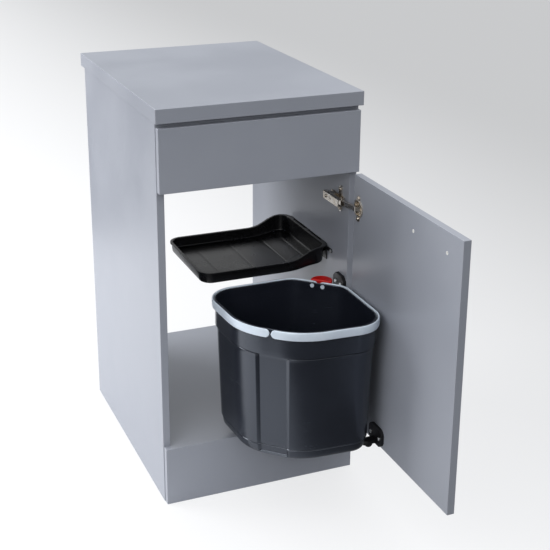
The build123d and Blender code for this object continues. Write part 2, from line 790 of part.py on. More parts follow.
with BuildPart() as knob_pin:
    with Locations((pull_pin_x, pull_pin_y, knob_bottom)):
        Cylinder(knob_diameter / 2, knob_height, align=(Align.CENTER, Align.CENTER, Align.MIN))
    fillet(knob_pin.edges().sort_by(Axis.Z)[0], knob_round)
    with Locations((pull_pin_x, pull_pin_y, knob_bottom + knob_height)):
        Cylinder(
            link_pin_diameter / 2, lug_top - knob_bottom - knob_height,
            align=(Align.CENTER, Align.CENTER, Align.MIN),
        )
knob_pin.part.label = "knob_pin"
export_step(knob_pin.part, "parts/knob_pin.step")

link_bar = bar(
    (pull_pin_x, pull_pin_y), (peg_x, peg_y), pull_link_width, pull_link_thickness, pull_link_bottom
)
with BuildPart() as pull_link:
    add(link_bar)
    fillet(pull_link.edges().group_by(Axis.Z)[-1], edge_round)
    with Locations((pull_pin_x, pull_pin_y, pull_link_bottom), (peg_x, peg_y, pull_link_bottom)):
        Cylinder(
            link_pin_diameter / 2 + hole_clearance, pull_link_thickness,
            align=(Align.CENTER, Align.CENTER, Align.MIN), mode=Mode.SUBTRACT,
        )
pull_link.part.label = "pull_link"
export_step(pull_link.part, "parts/pull_link.step")

with BuildPart() as bucket_peg:
    shoulder_top = bucket_bottom - running_gap
    with Locations((peg_x, peg_y, pull_link_bottom)):
        Cylinder(
            link_pin_diameter / 2, shoulder_top + peg_height - pull_link_bottom,
            align=(Align.CENTER, Align.CENTER, Align.MIN),
        )
    chamfer(bucket_peg.edges().sort_by(Axis.Z)[-1], edge_round)
    with Locations((peg_x, peg_y, pull_link_top)):
        Cylinder(
            shoulder_diameter / 2, shoulder_top - pull_link_top,
            align=(Align.CENTER, Align.CENTER, Align.MIN),
        )
bucket_peg.part.label = "bucket_peg"
export_step(bucket_peg.part, "parts/bucket_peg.step")


# Wall bracket with its pivot pin

tongue = bar(
    (bracket_x, bin_axis_y), (bin_axis_x, bin_axis_y), 2 * eye_radius, tongue_height, tongue_bottom
)
with BuildPart() as wall_bracket:
    with Locations((bracket_x, bracket_y, bracket_bottom)):
        Box(
            bracket_thickness, bracket_depth, bracket_top - bracket_bottom,
            align=(Align.MIN, Align.MIN, Align.MIN),
        )
    chamfer(wall_bracket.edges().filter_by(Axis.X), bracket_chamfer)
    add(tongue)
    with Locations((wall_x, bin_axis_y, tongue_bottom)):
        Box(
            4 * eye_radius, 4 * eye_radius, 4 * tongue_height,
            align=(Align.MIN, Align.CENTER, Align.CENTER), mode=Mode.SUBTRACT,
        )
    with Locations((bin_axis_x, bin_axis_y, tongue_bottom)):
        Cylinder(pin_diameter / 2 + hole_clearance, 4 * tongue_height, mode=Mode.SUBTRACT)
    spots = [(bracket_x, y, z) for y, z in bracket_screw_spots]
    with Locations(*facing(spots, (-1, 0, 0))):
        Hole(screw_hole, bracket_thickness)
wall_bracket.part.label = "wall_bracket"
export_step(wall_bracket.part, "parts/wall_bracket.step")

with BuildPart() as wall_bracket_screws:
    with Locations(*facing(spots, (-1, 0, 0))):
        add(bracket_screw)
wall_bracket_screws.part.label = "wall_bracket_screws"
export_step(wall_bracket_screws.part, "parts/wall_bracket_screws.step")

with BuildPart() as pivot_pin:
    with Locations((bin_axis_x, bin_axis_y, lower_eye_bottom)):
        Cylinder(
            pin_diameter / 2, upper_eye_top - lower_eye_bottom,
            align=(Align.CENTER, Align.CENTER, Align.MIN),
        )
pivot_pin.part.label = "pivot_pin"
export_step(pivot_pin.part, "parts/pivot_pin.step")


# Hanger that swings on the pin and enters the bucket's hook pocket

spine_near = slot_near + hook_clearance
spine_far = slot_far - hook_clearance
with BuildPart() as hanger:
    for eye_bottom in (lower_eye_bottom, tongue_top + running_gap):
        with BuildSketch(bin_plane(eye_bottom)):
            Circle(eye_radius)
            with Locations((spine_far / 2, 0)):
                Rectangle(spine_far, 2 * eye_radius)
        extrude(amount=eye_height)
    with BuildSketch(bin_plane(lower_eye_bottom)):
        with Locations(((spine_near + spine_far) / 2, 0)):
            Rectangle(spine_far - spine_near, 2 * hanger_web)
    extrude(amount=pocket_bottom - lower_eye_bottom)
    with BuildSketch(bin_plane(upper_eye_top)):
        with Locations(((spine_near + spine_far) / 2, 0)):
            Rectangle(spine_far - spine_near, 2 * (pocket_half - pocket_wall - hook_clearance))
    extrude(amount=pocket_top - pocket_wall - hook_clearance - upper_eye_top)
    with BuildSketch(bin_plane(upper_eye_top)):
        with Locations(((post_start + post_end) / 2, 0)):
            Rectangle(post_end - post_start, 2 * post_half)
    extrude(amount=pocket_top - upper_eye_top)
    with BuildSketch(bin_plane(upper_eye_top)):
        with Locations((spine_far / 2, 0)):
            Rectangle(spine_far, 2 * eye_radius)
    extrude(amount=pocket_bottom - upper_eye_top - hook_clearance)
    guide_width = post_half - catch_slider - hook_clearance
    for side in (-1, 1):
        with BuildSketch(bin_plane(pocket_top)):
            with Locations(((post_start + post_end) / 2, side * (post_half - guide_width / 2))):
                Rectangle(post_end - post_start, guide_width)
        extrude(amount=slider_height)
    with Locations(bin_spot(0, 0, lower_eye_bottom)):
        Cylinder(
            pin_diameter / 2 + hole_clearance, upper_eye_top - lower_eye_bottom,
            align=(Align.CENTER, Align.CENTER, Align.MIN), mode=Mode.SUBTRACT,
        )
hanger.part.label = "hanger"
export_step(hanger.part, "parts/hanger.step")


# Red catch: thumb plate, neck and slider in one piece

with BuildPart() as catch:
    with BuildSketch(bin_plane(slider_bottom)):
        with Locations(((post_start + post_end) / 2, 0)):
            Rectangle(post_end - post_start, 2 * catch_slider)
    extrude(amount=slider_height)
    with BuildSketch(bin_plane(slider_bottom)):
        with Locations((post_start / 2, 0)):
            Rectangle(-post_start, 2 * catch_neck)
    extrude(amount=catch_top - slider_bottom - catch_plate / 2)
    with BuildSketch(bin_plane(catch_top - catch_plate)):
        Circle(catch_radius)
        with Locations((catch_chord, 0)):
            Rectangle(
                2 * catch_radius, 2 * catch_radius,
                align=(Align.MIN, Align.CENTER), mode=Mode.SUBTRACT,
            )
    extrude(amount=catch_plate)
    fillet(catch.edges().group_by(Axis.Z)[-1], catch_round)
catch.part.label = "catch"
export_step(catch.part, "parts/catch.step")


# Bucket

body_slope = (body_low_inset - body_high_inset) / (collar_bottom - crease)
panel_low = crease + panel_margin
panel_high = collar_bottom - panel_margin
panel_foot = bin_spot(bucket_nose - body_low_inset + body_slope * panel_margin, 0, panel_low)
panel_rise = (-body_slope / math.sqrt(2), -body_slope / math.sqrt(2), 1)
panel_plane = Plane(origin=panel_foot.position, x_dir=(1, -1, 0), z_dir=panel_rise)
panel_length = (panel_high - panel_low) * math.hypot(1, body_slope)
panel_mouth = panel_half + panel_bevel
nose_turn = math.atan2(bucket_nose - bucket_corner + bucket_side * math.sqrt(2), bucket_corner - nose_half)
nose_flat = nose_half - nose_radius * math.tan(nose_turn / 2)
panel_fall = panel_sink - (panel_mouth - nose_flat) ** 2 / (2 * nose_radius)
panel_reach = panel_mouth + panel_bevel * panel_sink / panel_fall
floor_level = bucket_bottom + bucket_floor
rivet_ends = ((bucket_nose, 1), (bucket_back, -1))

foot_sections = [
    bucket_section(foot_inset, bucket_bottom),
    bucket_section(foot_inset - foot_bevel, bucket_bottom + foot_round),
    bucket_section(crease_inset, crease),
]
body_sections = [
    bucket_section(body_low_inset, crease),
    bucket_section(body_high_inset, collar_bottom),
]
collar_section = bucket_section(0, collar_bottom)
hollow_low = [
    bucket_section(foot_inset + bucket_wall, floor_level),
    bucket_section(crease_inset + bucket_wall, crease + bucket_wall),
]
hollow_body = [
    bucket_section(crease_inset + bucket_wall, crease + bucket_wall),
    bucket_section(body_high_inset + bucket_wall, collar_bottom + bucket_wall),
]
hollow_collar = bucket_section(bucket_wall, collar_bottom + bucket_wall)

with BuildPart() as bucket:
    loft(sections=foot_sections[:2], ruled=True)
    loft(sections=foot_sections[1:], ruled=True)
    loft(sections=body_sections, ruled=True)
    extrude(collar_section, amount=collar_height)
    with BuildSketch(panel_plane):
        with BuildLine():
            Polyline(
                (-panel_half, panel_sink),
                (panel_half, panel_sink),
                (panel_reach, -panel_fall),
                (-panel_reach, -panel_fall),
                close=True,
            )
        make_face()
    extrude(amount=panel_length, mode=Mode.SUBTRACT)
    with BuildSketch(bin_plane(pocket_bottom)):
        with Locations((bucket_back, 0)):
            Rectangle(2 * pocket_depth, 2 * pocket_half)
    extrude(amount=pocket_height)
    for wall, outward in rivet_ends:
        boss = band_gap - running_gap + bucket_wall / 2
        middle = wall + outward * (band_gap - running_gap - boss / 2)
        for side in (-1, 1):
            with Locations(bin_spot(middle, side * rivet_offset, rivet_level, (0, 90, 0))):
                Cylinder(boss_diameter / 2, boss)
    loft(sections=hollow_low, ruled=True, mode=Mode.SUBTRACT)
    loft(sections=hollow_body, ruled=True, mode=Mode.SUBTRACT)
    extrude(hollow_collar, amount=collar_height, mode=Mode.SUBTRACT)
    with BuildSketch(panel_plane):
        with Locations((0, panel_sink)):
            Rectangle(2 * panel_mouth, bucket_wall, align=(Align.CENTER, Align.MIN))
    extrude(amount=panel_length)
    with BuildSketch(bin_plane(pocket_bottom)):
        with Locations(((slot_near + slot_far) / 2, 0)):
            Rectangle(slot_far - slot_near, 2 * (pocket_half - pocket_wall))
    extrude(amount=pocket_height - pocket_wall, mode=Mode.SUBTRACT)
    with Locations((peg_x, peg_y, bucket_bottom)):
        Cylinder(
            socket_boss / 2, peg_height + bucket_floor,
            align=(Align.CENTER, Align.CENTER, Align.MIN),
        )
        Cylinder(
            link_pin_diameter / 2 + socket_clearance, peg_height + running_gap,
            align=(Align.CENTER, Align.CENTER, Align.MIN), mode=Mode.SUBTRACT,
        )
    for wall, outward in rivet_ends:
        for side in (-1, 1):
            with Locations(bin_spot(wall, side * rivet_offset, rivet_level, (0, 90, 0))):
                Cylinder(rivet_diameter / 2 + hole_clearance, 6 * bucket_wall, mode=Mode.SUBTRACT)
bucket.part.label = "bucket"
export_step(bucket.part, "parts/bucket.step")


# Handles: two half loops round the collar

band_outer = bucket_section(-band_gap - band_thickness, band_bottom)
band_inner = bucket_section(-band_gap, band_bottom)
band_reach = 2 * bucket_nose

for side, name in ((-1, "handle_left"), (1, "handle_right")):
    with BuildPart() as handle:
        extrude(band_outer, amount=band_height)
        extrude(band_inner, amount=band_height, mode=Mode.SUBTRACT)
        with Locations(bin_spot(0, side * (rivet_offset + band_reach / 2), rivet_level)):
            Box(2 * band_reach, band_reach, 2 * band_height, mode=Mode.INTERSECT)
        fillet(handle.edges().group_by(Axis.Z)[-1].filter_by(GeomType.LINE, reverse=True), edge_round)
        for wall, outward in rivet_ends:
            middle = wall + outward * (band_gap + band_thickness / 2)
            with Locations(bin_spot(middle, side * rivet_offset, rivet_level, (0, 90, 0))):
                Cylinder(band_height / 2, band_thickness)
            hole_middle = wall + outward * (band_gap + rivet_depth / 2)
            with Locations(bin_spot(hole_middle, side * rivet_offset, rivet_level, (0, 90, 0))):
                Cylinder(
                    rivet_diameter / 2 + hole_clearance, rivet_depth + 2 * running_gap,
                    mode=Mode.SUBTRACT,
                )
    handle.part.label = name
    export_step(handle.part, f"parts/{name}.step")

with BuildPart() as handle_rivets:
    for wall, outward in rivet_ends:
        inside = wall - outward * bucket_wall
        shank = bucket_wall + band_gap + rivet_depth
        for side in (-1, 1):
            middle = inside + outward * shank / 2
            with Locations(bin_spot(middle, side * rivet_offset, rivet_level, (0, 90, 0))):
                Cylinder(rivet_diameter / 2, shank)
            head = inside - outward * rivet_head_height / 2
            with Locations(bin_spot(head, side * rivet_offset, rivet_level, (0, 90, 0))):
                Cylinder(rivet_head / 2, rivet_head_height)
handle_rivets.part.label = "handle_rivets"
export_step(handle_rivets.part, "parts/handle_rivets.step")


# Tray that covers the bucket, hooked on its rail

tray_shell = tray_profile(
    tray_bottom, tray_bottom + tray_floor_rise, tray_bottom + tray_low, tray_top
)
tray_edge = tray_profile(
    tray_bottom + tray_low - tray_lip_height, tray_top - tray_lip_height, tray_bottom + tray_low, tray_top
)
space_top = tray_top + tray_low
tray_space = tray_profile(
    tray_bottom + tray_wall, tray_bottom + tray_floor_rise + tray_wall, space_top, space_top
)
shell_plan = tray_plan(0, 0, tray_bottom, tray_top)
lip_plan = tray_plan(tray_lip, hook_far - tray_right, tray_bottom, tray_top)
space_plan = tray_plan(-tray_wall, -tray_wall, tray_bottom, space_top)

with BuildPart() as tray_lip_ring:
    add(tray_edge)
    add(lip_plan, mode=Mode.INTERSECT)

with BuildPart() as tray_hollow:
    add(tray_space)
    add(space_plan, mode=Mode.INTERSECT)

with BuildPart() as tray:
    add(tray_shell)
    add(shell_plan, mode=Mode.INTERSECT)
    add(tray_lip_ring.part)
    add(tray_hollow.part, mode=Mode.SUBTRACT)
    hook_length = tray_depth - 2 * hook_margin
    hook_y = tray_y + tray_depth / 2
    with Locations((hook_far, hook_y, tray_top)):
        Box(hook_sheet, hook_length, hook_drop, align=(Align.MAX, Align.CENTER, Align.MAX))
    slot_x = strip_x + rail_sheet / 2
    slot_spots = [(slot_x, hook_y + side * hook_slot_pitch / 2, tray_top) for side in (-1, 1)]
    with Locations(*slot_spots):
        Box(hook_slot[0], hook_slot[1], 3 * tray_lip_height, mode=Mode.SUBTRACT)
    groove_spots = [
        (tray_left + groove_start + index * groove_pitch, hook_y, tray_bottom + tray_wall)
        for index in range(groove_count)
    ]
    with Locations(*groove_spots):
        Box(groove_width, tray_depth - 2 * groove_margin, 2 * groove_depth, mode=Mode.SUBTRACT)
tray.part.label = "tray"
export_step(tray.part, "parts/tray.step")

with BuildPart() as tray_rail:
    foot_bottom = strip_bottom - rail_foot
    rail_length = rail_back - rail_start
    post_front = rail_start - hook_gap - rail_post
    with Locations((strip_x, rail_start, strip_bottom)):
        Box(rail_sheet, rail_length, rail_strip, align=(Align.MIN, Align.MIN, Align.MIN))
        Box(wall_x - strip_x, rail_length, rail_sheet, align=(Align.MIN, Align.MIN, Align.MIN))
    with Locations((wall_x, post_front, foot_bottom)):
        Box(
            rail_sheet, rail_back - post_front, rail_foot + rail_sheet,
            align=(Align.MAX, Align.MIN, Align.MIN),
        )
        Box(rail_sheet, rail_post, rail_ear_top - foot_bottom, align=(Align.MAX, Align.MIN, Align.MIN))
    with BuildSketch(Plane(origin=(wall_x, rail_front, rail_ear_top), x_dir=(0, 1, 0), z_dir=(-1, 0, 0))):
        ear_reach = post_front + rail_post - rail_front
        with Locations((ear_reach / 2, rail_ear / 2)):
            SlotOverall(ear_reach, rail_ear)
        with Locations((ear_reach - rail_ear / 2, rail_ear / 2)):
            Rectangle(rail_ear, rail_ear)
    extrude(amount=rail_sheet)
    spots = [(wall_x - rail_sheet, y, z) for y, z in rail_screw_spots]
    with Locations(*facing(spots, (-1, 0, 0))):
        Hole(screw_hole, rail_sheet)
tray_rail.part.label = "tray_rail"
export_step(tray_rail.part, "parts/tray_rail.step")

with BuildPart() as tray_rail_screws:
    with Locations(*facing(spots, (-1, 0, 0))):
        add(rail_screw)
tray_rail_screws.part.label = "tray_rail_screws"
export_step(tray_rail_screws.part, "parts/tray_rail_screws.step")
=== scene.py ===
import bpy
import bmesh
import json
import math
import numpy as np
from mathutils import Matrix, Vector


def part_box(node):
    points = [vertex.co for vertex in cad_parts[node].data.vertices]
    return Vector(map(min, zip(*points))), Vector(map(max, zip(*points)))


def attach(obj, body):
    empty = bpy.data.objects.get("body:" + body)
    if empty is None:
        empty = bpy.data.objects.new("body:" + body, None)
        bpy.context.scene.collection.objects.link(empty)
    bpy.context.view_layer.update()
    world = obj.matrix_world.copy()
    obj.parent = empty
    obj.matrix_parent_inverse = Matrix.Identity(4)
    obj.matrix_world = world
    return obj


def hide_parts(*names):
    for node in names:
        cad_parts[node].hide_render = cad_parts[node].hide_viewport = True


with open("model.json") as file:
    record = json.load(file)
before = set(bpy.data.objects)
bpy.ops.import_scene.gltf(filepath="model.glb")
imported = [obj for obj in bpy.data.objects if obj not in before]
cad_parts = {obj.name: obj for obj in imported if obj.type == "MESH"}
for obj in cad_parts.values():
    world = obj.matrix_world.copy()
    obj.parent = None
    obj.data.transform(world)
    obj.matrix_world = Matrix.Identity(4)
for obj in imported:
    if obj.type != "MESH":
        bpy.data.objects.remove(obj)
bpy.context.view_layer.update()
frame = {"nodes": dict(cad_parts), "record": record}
nodes = frame["nodes"]
print("frame loaded:", len(nodes), "nodes")


# node tools

def addNode(tree, kind, **settings):
    node = tree.nodes.new(kind)
    for key, value in settings.items():
        setattr(node, key, value)
    return node


def feed(tree, node, **inputs):  # a socket makes a link, anything else is a plain value
    for key, value in inputs.items():
        target = node.inputs[int(key[1:])] if key[0] == "i" and key[1:].isdigit() else node.inputs[key]
        if isinstance(value, bpy.types.NodeSocket):
            tree.links.new(value, target)
        else:
            target.default_value = value
    return node


def newGroup(name, inputs, outputs):
    group = bpy.data.node_groups.new(name, "ShaderNodeTree")
    for label, kind in inputs:
        group.interface.new_socket(name=label, in_out="INPUT", socket_type=kind)
    for label in outputs:
        group.interface.new_socket(name=label, in_out="OUTPUT", socket_type="NodeSocketFloat")
    return group, addNode(group, "NodeGroupInput"), addNode(group, "NodeGroupOutput")


def mathNode(tree, operation, a, b=0.0):
    return feed(tree, addNode(tree, "ShaderNodeMath", operation=operation), i0=a, i1=b).outputs[0]


def noise(tree, vector, scale, detail, rough):
    node = addNode(tree, "ShaderNodeTexNoise")
    return feed(tree, node, Vector=vector, Scale=scale, Detail=detail, Roughness=rough).outputs["Fac"]


def spread(tree, value, low, high, toLow=0.0, toHigh=1.0):
    node = addNode(tree, "ShaderNodeMapRange", interpolation_type="SMOOTHSTEP")
    node.inputs["From Min"].default_value = low
    node.inputs["From Max"].default_value = high
    node.inputs["To Min"].default_value = toLow
    node.inputs["To Max"].default_value = toHigh
    tree.links.new(value, node.inputs["Value"])
    return node.outputs["Result"]


def stretched(tree, vector, scale, turn=(0.0, 0.0, 0.0)):
    node = addNode(tree, "ShaderNodeMapping")
    node.inputs["Rotation"].default_value = turn
    node.inputs["Scale"].default_value = scale
    tree.links.new(vector, node.inputs["Vector"])
    return node.outputs["Vector"]


def raised(tree, height, strength, depth):  # a height pattern turned into a normal
    node = addNode(tree, "ShaderNodeBump")
    node.inputs["Strength"].default_value = strength
    node.inputs["Distance"].default_value = depth
    tree.links.new(height, node.inputs["Height"])
    return node.outputs["Normal"]


# effects and grains, each noise as detail and roughness
effectInputs = [("Place", "NodeSocketVector"), ("Scale", "NodeSocketFloat")]
cloud = {"noise": (4.0, 0.55), "range": (0.3, 0.7)}
moulded = {"fine": (3.0, 0.6), "wider": 0.23, "ripple": (1.0, 0.4), "rippleShare": 0.8}
scuff = {
    "turn": (0.5, 0.3, 0.6), "stretch": (1.0, 1.0, 11.0), "streak": (4.0, 0.7), "streakRange": (0.6, 0.72),
    "wider": 0.3, "patch": (2.0, 0.5), "patchRange": (0.48, 0.68),
}
drawn = {"streak": (4.0, 0.65), "range": (0.25, 0.75)}
wood = {
    "grain": (5.0, 0.6), "range": (0.3, 0.7), "roughRange": (0.2, 0.8),
    "fleck": (2.0, 0.5), "fleckRange": (0.58, 0.66),
}


def makeCloud():  # slow drift of tone over a surface
    group, inside, out = newGroup("cloud", effectInputs, ["Tone"])
    wide = noise(group, inside.outputs["Place"], inside.outputs["Scale"], *cloud["noise"])
    group.links.new(spread(group, wide, *cloud["range"]), out.inputs["Tone"])
    return group


def makeSkin():  # moulded or sprayed skin: fine grain on a wider ripple
    group, inside, out = newGroup("skin", effectInputs, ["Height"])
    fine = noise(group, inside.outputs["Place"], inside.outputs["Scale"], *moulded["fine"])
    wider = mathNode(group, "MULTIPLY", inside.outputs["Scale"], moulded["wider"])
    ripple = noise(group, inside.outputs["Place"], wider, *moulded["ripple"])
    height = mathNode(group, "ADD", fine, mathNode(group, "MULTIPLY", ripple, moulded["rippleShare"]))
    group.links.new(height, out.inputs["Height"])
    return group


def makeScuff():  # short fine rubs that gather in patches
    group, inside, out = newGroup("scuff", effectInputs, ["Mask"])
    long = stretched(group, inside.outputs["Place"], scuff["stretch"], scuff["turn"])
    streak = noise(group, long, inside.outputs["Scale"], *scuff["streak"])
    wider = mathNode(group, "MULTIPLY", inside.outputs["Scale"], scuff["wider"])
    patch = noise(group, inside.outputs["Place"], wider, *scuff["patch"])
    streak = spread(group, streak, *scuff["streakRange"])
    patch = spread(group, patch, *scuff["patchRange"])
    group.links.new(mathNode(group, "MULTIPLY", streak, patch), out.inputs["Mask"])
    return group


effects = {"cloud": makeCloud(), "skin": makeSkin(), "scuff": makeScuff()}


def place(tree, name, where, scale):
    node = addNode(tree, "ShaderNodeGroup", node_tree=effects[name])
    return feed(tree, node, Place=where, Scale=scale).outputs[0]


def newFinish(name):
    finish = bpy.data.materials.new(name)
    finish.use_nodes = True
    tree = finish.node_tree
    tree.nodes.clear()
    shader = addNode(tree, "ShaderNodeBsdfPrincipled")
    out = addNode(tree, "ShaderNodeOutputMaterial")
    tree.links.new(shader.outputs[0], out.inputs["Surface"])
    where = addNode(tree, "ShaderNodeTexCoord").outputs["Object"]
    return finish, tree, shader, where


def blendColour(tree, amount, first, second):
    node = addNode(tree, "ShaderNodeMix", data_type="RGBA")
    for socket, value in ((node.inputs[0], amount), (node.inputs[6], first), (node.inputs[7], second)):
        if isinstance(value, bpy.types.NodeSocket):
            tree.links.new(value, socket)
        else:
            socket.default_value = (*value, 1.0) if isinstance(value, tuple) else value
    return node.outputs[2]


# depths of the patterns in metres, and how much a rub dulls
relief = {"coated": 0.0004, "plated": 0.0002, "timber": 0.0003}
rubDulls = 0.25


def coated(name, look):  # lacquer and plastics: two tones, rubs, skin in the normal
    finish, tree, shader, where = newFinish(name)
    tone = place(tree, "cloud", where, look["cloud"])
    rub = place(tree, "scuff", where, look["scuff"])
    rub = mathNode(tree, "MULTIPLY", rub, look["rubbed"])
    colour = blendColour(tree, tone, look["deep"], look["pale"])
    colour = blendColour(tree, rub, colour, look["worn"])
    rough = spread(tree, tone, 0.0, 1.0, *look["rough"])
    rough = mathNode(tree, "ADD", rough, mathNode(tree, "MULTIPLY", rub, rubDulls))
    grain = place(tree, "skin", where, look["grain"])
    feed(tree, shader, Roughness=rough, Normal=raised(tree, grain, look["bump"], relief["coated"]))
    tree.links.new(colour, shader.inputs["Base Color"])
    shader.inputs["Specular IOR Level"].default_value = look.get("specular", 0.5)
    shader.inputs["Specular Tint"].default_value = look.get("tint", (1.0, 1.0, 1.0, 1.0))
    shader.inputs["Metallic"].default_value = look.get("metal", 0.0)
    return finish


def plated(name, look):  # bright metals: drawn streaks over small stains
    finish, tree, shader, where = newFinish(name)
    streak = noise(tree, stretched(tree, where, look["streak"]), look["fine"], *drawn["streak"])
    tone = place(tree, "cloud", where, look["cloud"])
    colour = blendColour(tree, tone, look["deep"], look["pale"])
    tree.links.new(colour, shader.inputs["Base Color"])
    rough = spread(tree, streak, *drawn["range"], *look["rough"])
    feed(tree, shader, Roughness=rough, Normal=raised(tree, streak, look["bump"], relief["plated"]))
    shader.inputs["Metallic"].default_value = 1.0
    return finish


def timber(name, look):  # dowels and blocks: straight grain with flecks
    finish, tree, shader, where = newFinish(name)
    along = stretched(tree, where, look["grain"])
    grain = noise(tree, along, look["scale"], *wood["grain"])
    fleck = noise(tree, along, look["scale"] * look["fleckFiner"], *wood["fleck"])
    fleck = mathNode(tree, "MULTIPLY", spread(tree, fleck, *wood["fleckRange"]), look["flecked"])
    colour = blendColour(tree, spread(tree, grain, *wood["range"]), look["deep"], look["pale"])
    tree.links.new(blendColour(tree, fleck, colour, look["fleck"]), shader.inputs["Base Color"])
    rough = spread(tree, grain, *wood["roughRange"], *look["rough"])
    feed(tree, shader, Roughness=rough, Normal=raised(tree, grain, look["bump"], relief["timber"]))
    return finish


# finishes, by the record's material slots
finishes = {
    "lacquered_board": coated("greyLacquer", {
        "deep": (0.262, 0.277, 0.318), "pale": (0.282, 0.297, 0.338), "worn": (0.32, 0.335, 0.37),
        "cloud": 3.0, "scuff": 9.0, "rubbed": 0.10, "rough": (0.32, 0.40), "grain": 1500.0, "bump": 0.05,
    }),
    "fitting_plastic": coated("blackFittings", {
        "deep": (0.006, 0.006, 0.007), "pale": (0.011, 0.011, 0.0125), "worn": (0.04, 0.04, 0.045),
        "cloud": 40.0, "scuff": 60.0, "rubbed": 0.15, "rough": (0.34, 0.46), "grain": 2600.0, "bump": 0.20,
        "specular": 0.25,
    }),
    "red_plastic": coated("redCatch", {
        "deep": (0.50, 0.006, 0.004), "pale": (0.62, 0.012, 0.008), "worn": (0.70, 0.08, 0.06),
        "cloud": 40.0, "scuff": 60.0, "rubbed": 0.12, "rough": (0.28, 0.36), "grain": 1800.0, "bump": 0.08,
    }),
    "bucket_plastic": coated("anthracitePlastic", {
        "deep": (0.0075, 0.009, 0.014), "pale": (0.0105, 0.0125, 0.0185), "worn": (0.045, 0.050, 0.064),
        "cloud": 7.0, "scuff": 22.0, "rubbed": 0.06, "rough": (0.22, 0.27), "grain": 1700.0, "bump": 0.07,
        "specular": 1.0, "tint": (0.80, 0.87, 1.0, 1.0),
    }),
    "handle_plastic": coated("silverPlastic", {
        "deep": (0.60, 0.675, 0.765), "pale": (0.66, 0.735, 0.82), "worn": (0.72, 0.77, 0.83),
        "cloud": 30.0, "scuff": 40.0, "rubbed": 0.03, "rough": (0.30, 0.36), "grain": 3000.0, "bump": 0.04,
        "metal": 0.15,
    }),
    "tray_plastic": coated("blackTray", {
        "deep": (0.0045, 0.0045, 0.0055), "pale": (0.0065, 0.0065, 0.0075), "worn": (0.035, 0.035, 0.04),
        "cloud": 8.0, "scuff": 24.0, "rubbed": 0.10, "rough": (0.24, 0.30), "grain": 1900.0, "bump": 0.10,
        "specular": 0.3,
    }),
    "nickel_steel": plated("nickel", {
        "deep": (0.56, 0.50, 0.43), "pale": (0.78, 0.74, 0.68), "streak": (40.0, 6.0, 40.0), "fine": 30.0,
        "cloud": 90.0, "rough": (0.16, 0.32), "bump": 0.06,
    }),
    "zinc_steel": plated("brightZinc", {
        "deep": (0.66, 0.68, 0.70), "pale": (0.86, 0.87, 0.88), "streak": (30.0, 30.0, 8.0), "fine": 34.0,
        "cloud": 70.0, "rough": (0.20, 0.36), "bump": 0.06,
    }),
    "beech": timber("rawBeech", {
        "deep": (0.42, 0.26, 0.14), "pale": (0.62, 0.43, 0.26), "fleck": (0.33, 0.18, 0.09),
        "grain": (9.0, 9.0, 1.0), "scale": 14.0, "fleckFiner": 4.0, "flecked": 0.5,
        "rough": (0.5, 0.7), "bump": 0.15,
    }),
}
slotOf = {part["node"]: part["material_slot"] for part in frame["record"]["subparts"]}
for name, node in nodes.items():
    node.data.materials.clear()
    node.data.materials.append(finishes[slotOf[name]])
nodes["tray_rail"].data.materials[0] = finishes["fitting_plastic"]  # the rail is painted black
print("finishes on", len(nodes), "nodes")


# mesh tools, millimetres in, metres out
toMetres, toMillimetres = 0.001, 1000
mergeReach = 2e-6  # metres
sharpAngle = 40.0  # degrees
arcSteps = 200


def gridFaces(rows, columns, closed, start=0):  # quads between neighbouring rows and columns
    index = start + np.arange(rows * columns).reshape(rows, columns)
    ahead = np.roll(index, -1, axis=1)
    here, ahead = (index, ahead) if closed else (index[:, :-1], ahead[:, :-1])
    return np.stack([here[:-1], ahead[:-1], ahead[1:], here[1:]], axis=-1).reshape(-1, 4)


def addPiece(name, points, faces, body, slotName, stands=()):
    mesh = bpy.data.meshes.new(name)
    mesh.from_pydata((np.asarray(points).reshape(-1, 3) * toMetres).tolist(), [], faces.tolist())
    work = bmesh.new()
    work.from_mesh(mesh)
    bmesh.ops.remove_doubles(work, verts=work.verts, dist=mergeReach)
    bmesh.ops.recalc_face_normals(work, faces=work.faces)
    work.to_mesh(mesh)
    work.free()
    mesh.shade_smooth()
    mesh.set_sharp_from_angle(angle=math.radians(sharpAngle))
    mesh.materials.append(finishes[slotName])
    piece = bpy.data.objects.new(name, mesh)
    bpy.context.scene.collection.objects.link(piece)
    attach(piece, body)
    if stands:
        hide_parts(*stands)
    print("piece", name, len(mesh.polygons), "faces")
    return piece


def softPath(points, radii, steps):  # a bent line whose corners are eased by short parabolas
    points = np.array(points, float)
    radii = np.array(radii, float)
    before = points[:-2] - points[1:-1]
    after = points[2:] - points[1:-1]
    spanBefore = np.linalg.norm(before, axis=1)
    spanAfter = np.linalg.norm(after, axis=1)
    reach = np.minimum(radii, 0.49 * np.minimum(spanBefore, spanAfter))  # two corners never meet on a run
    start = points[1:-1] + before * (reach / spanBefore)[:, None]
    end = points[1:-1] + after * (reach / spanAfter)[:, None]
    s = np.linspace(0, 1, steps + 1)[None, :, None]
    bends = (1 - s) ** 2 * start[:, None] + 2 * s * (1 - s) * points[1:-1, None] + s ** 2 * end[:, None]
    return np.vstack([points[:1], bends.reshape(-1, points.shape[1]), points[-1:]])


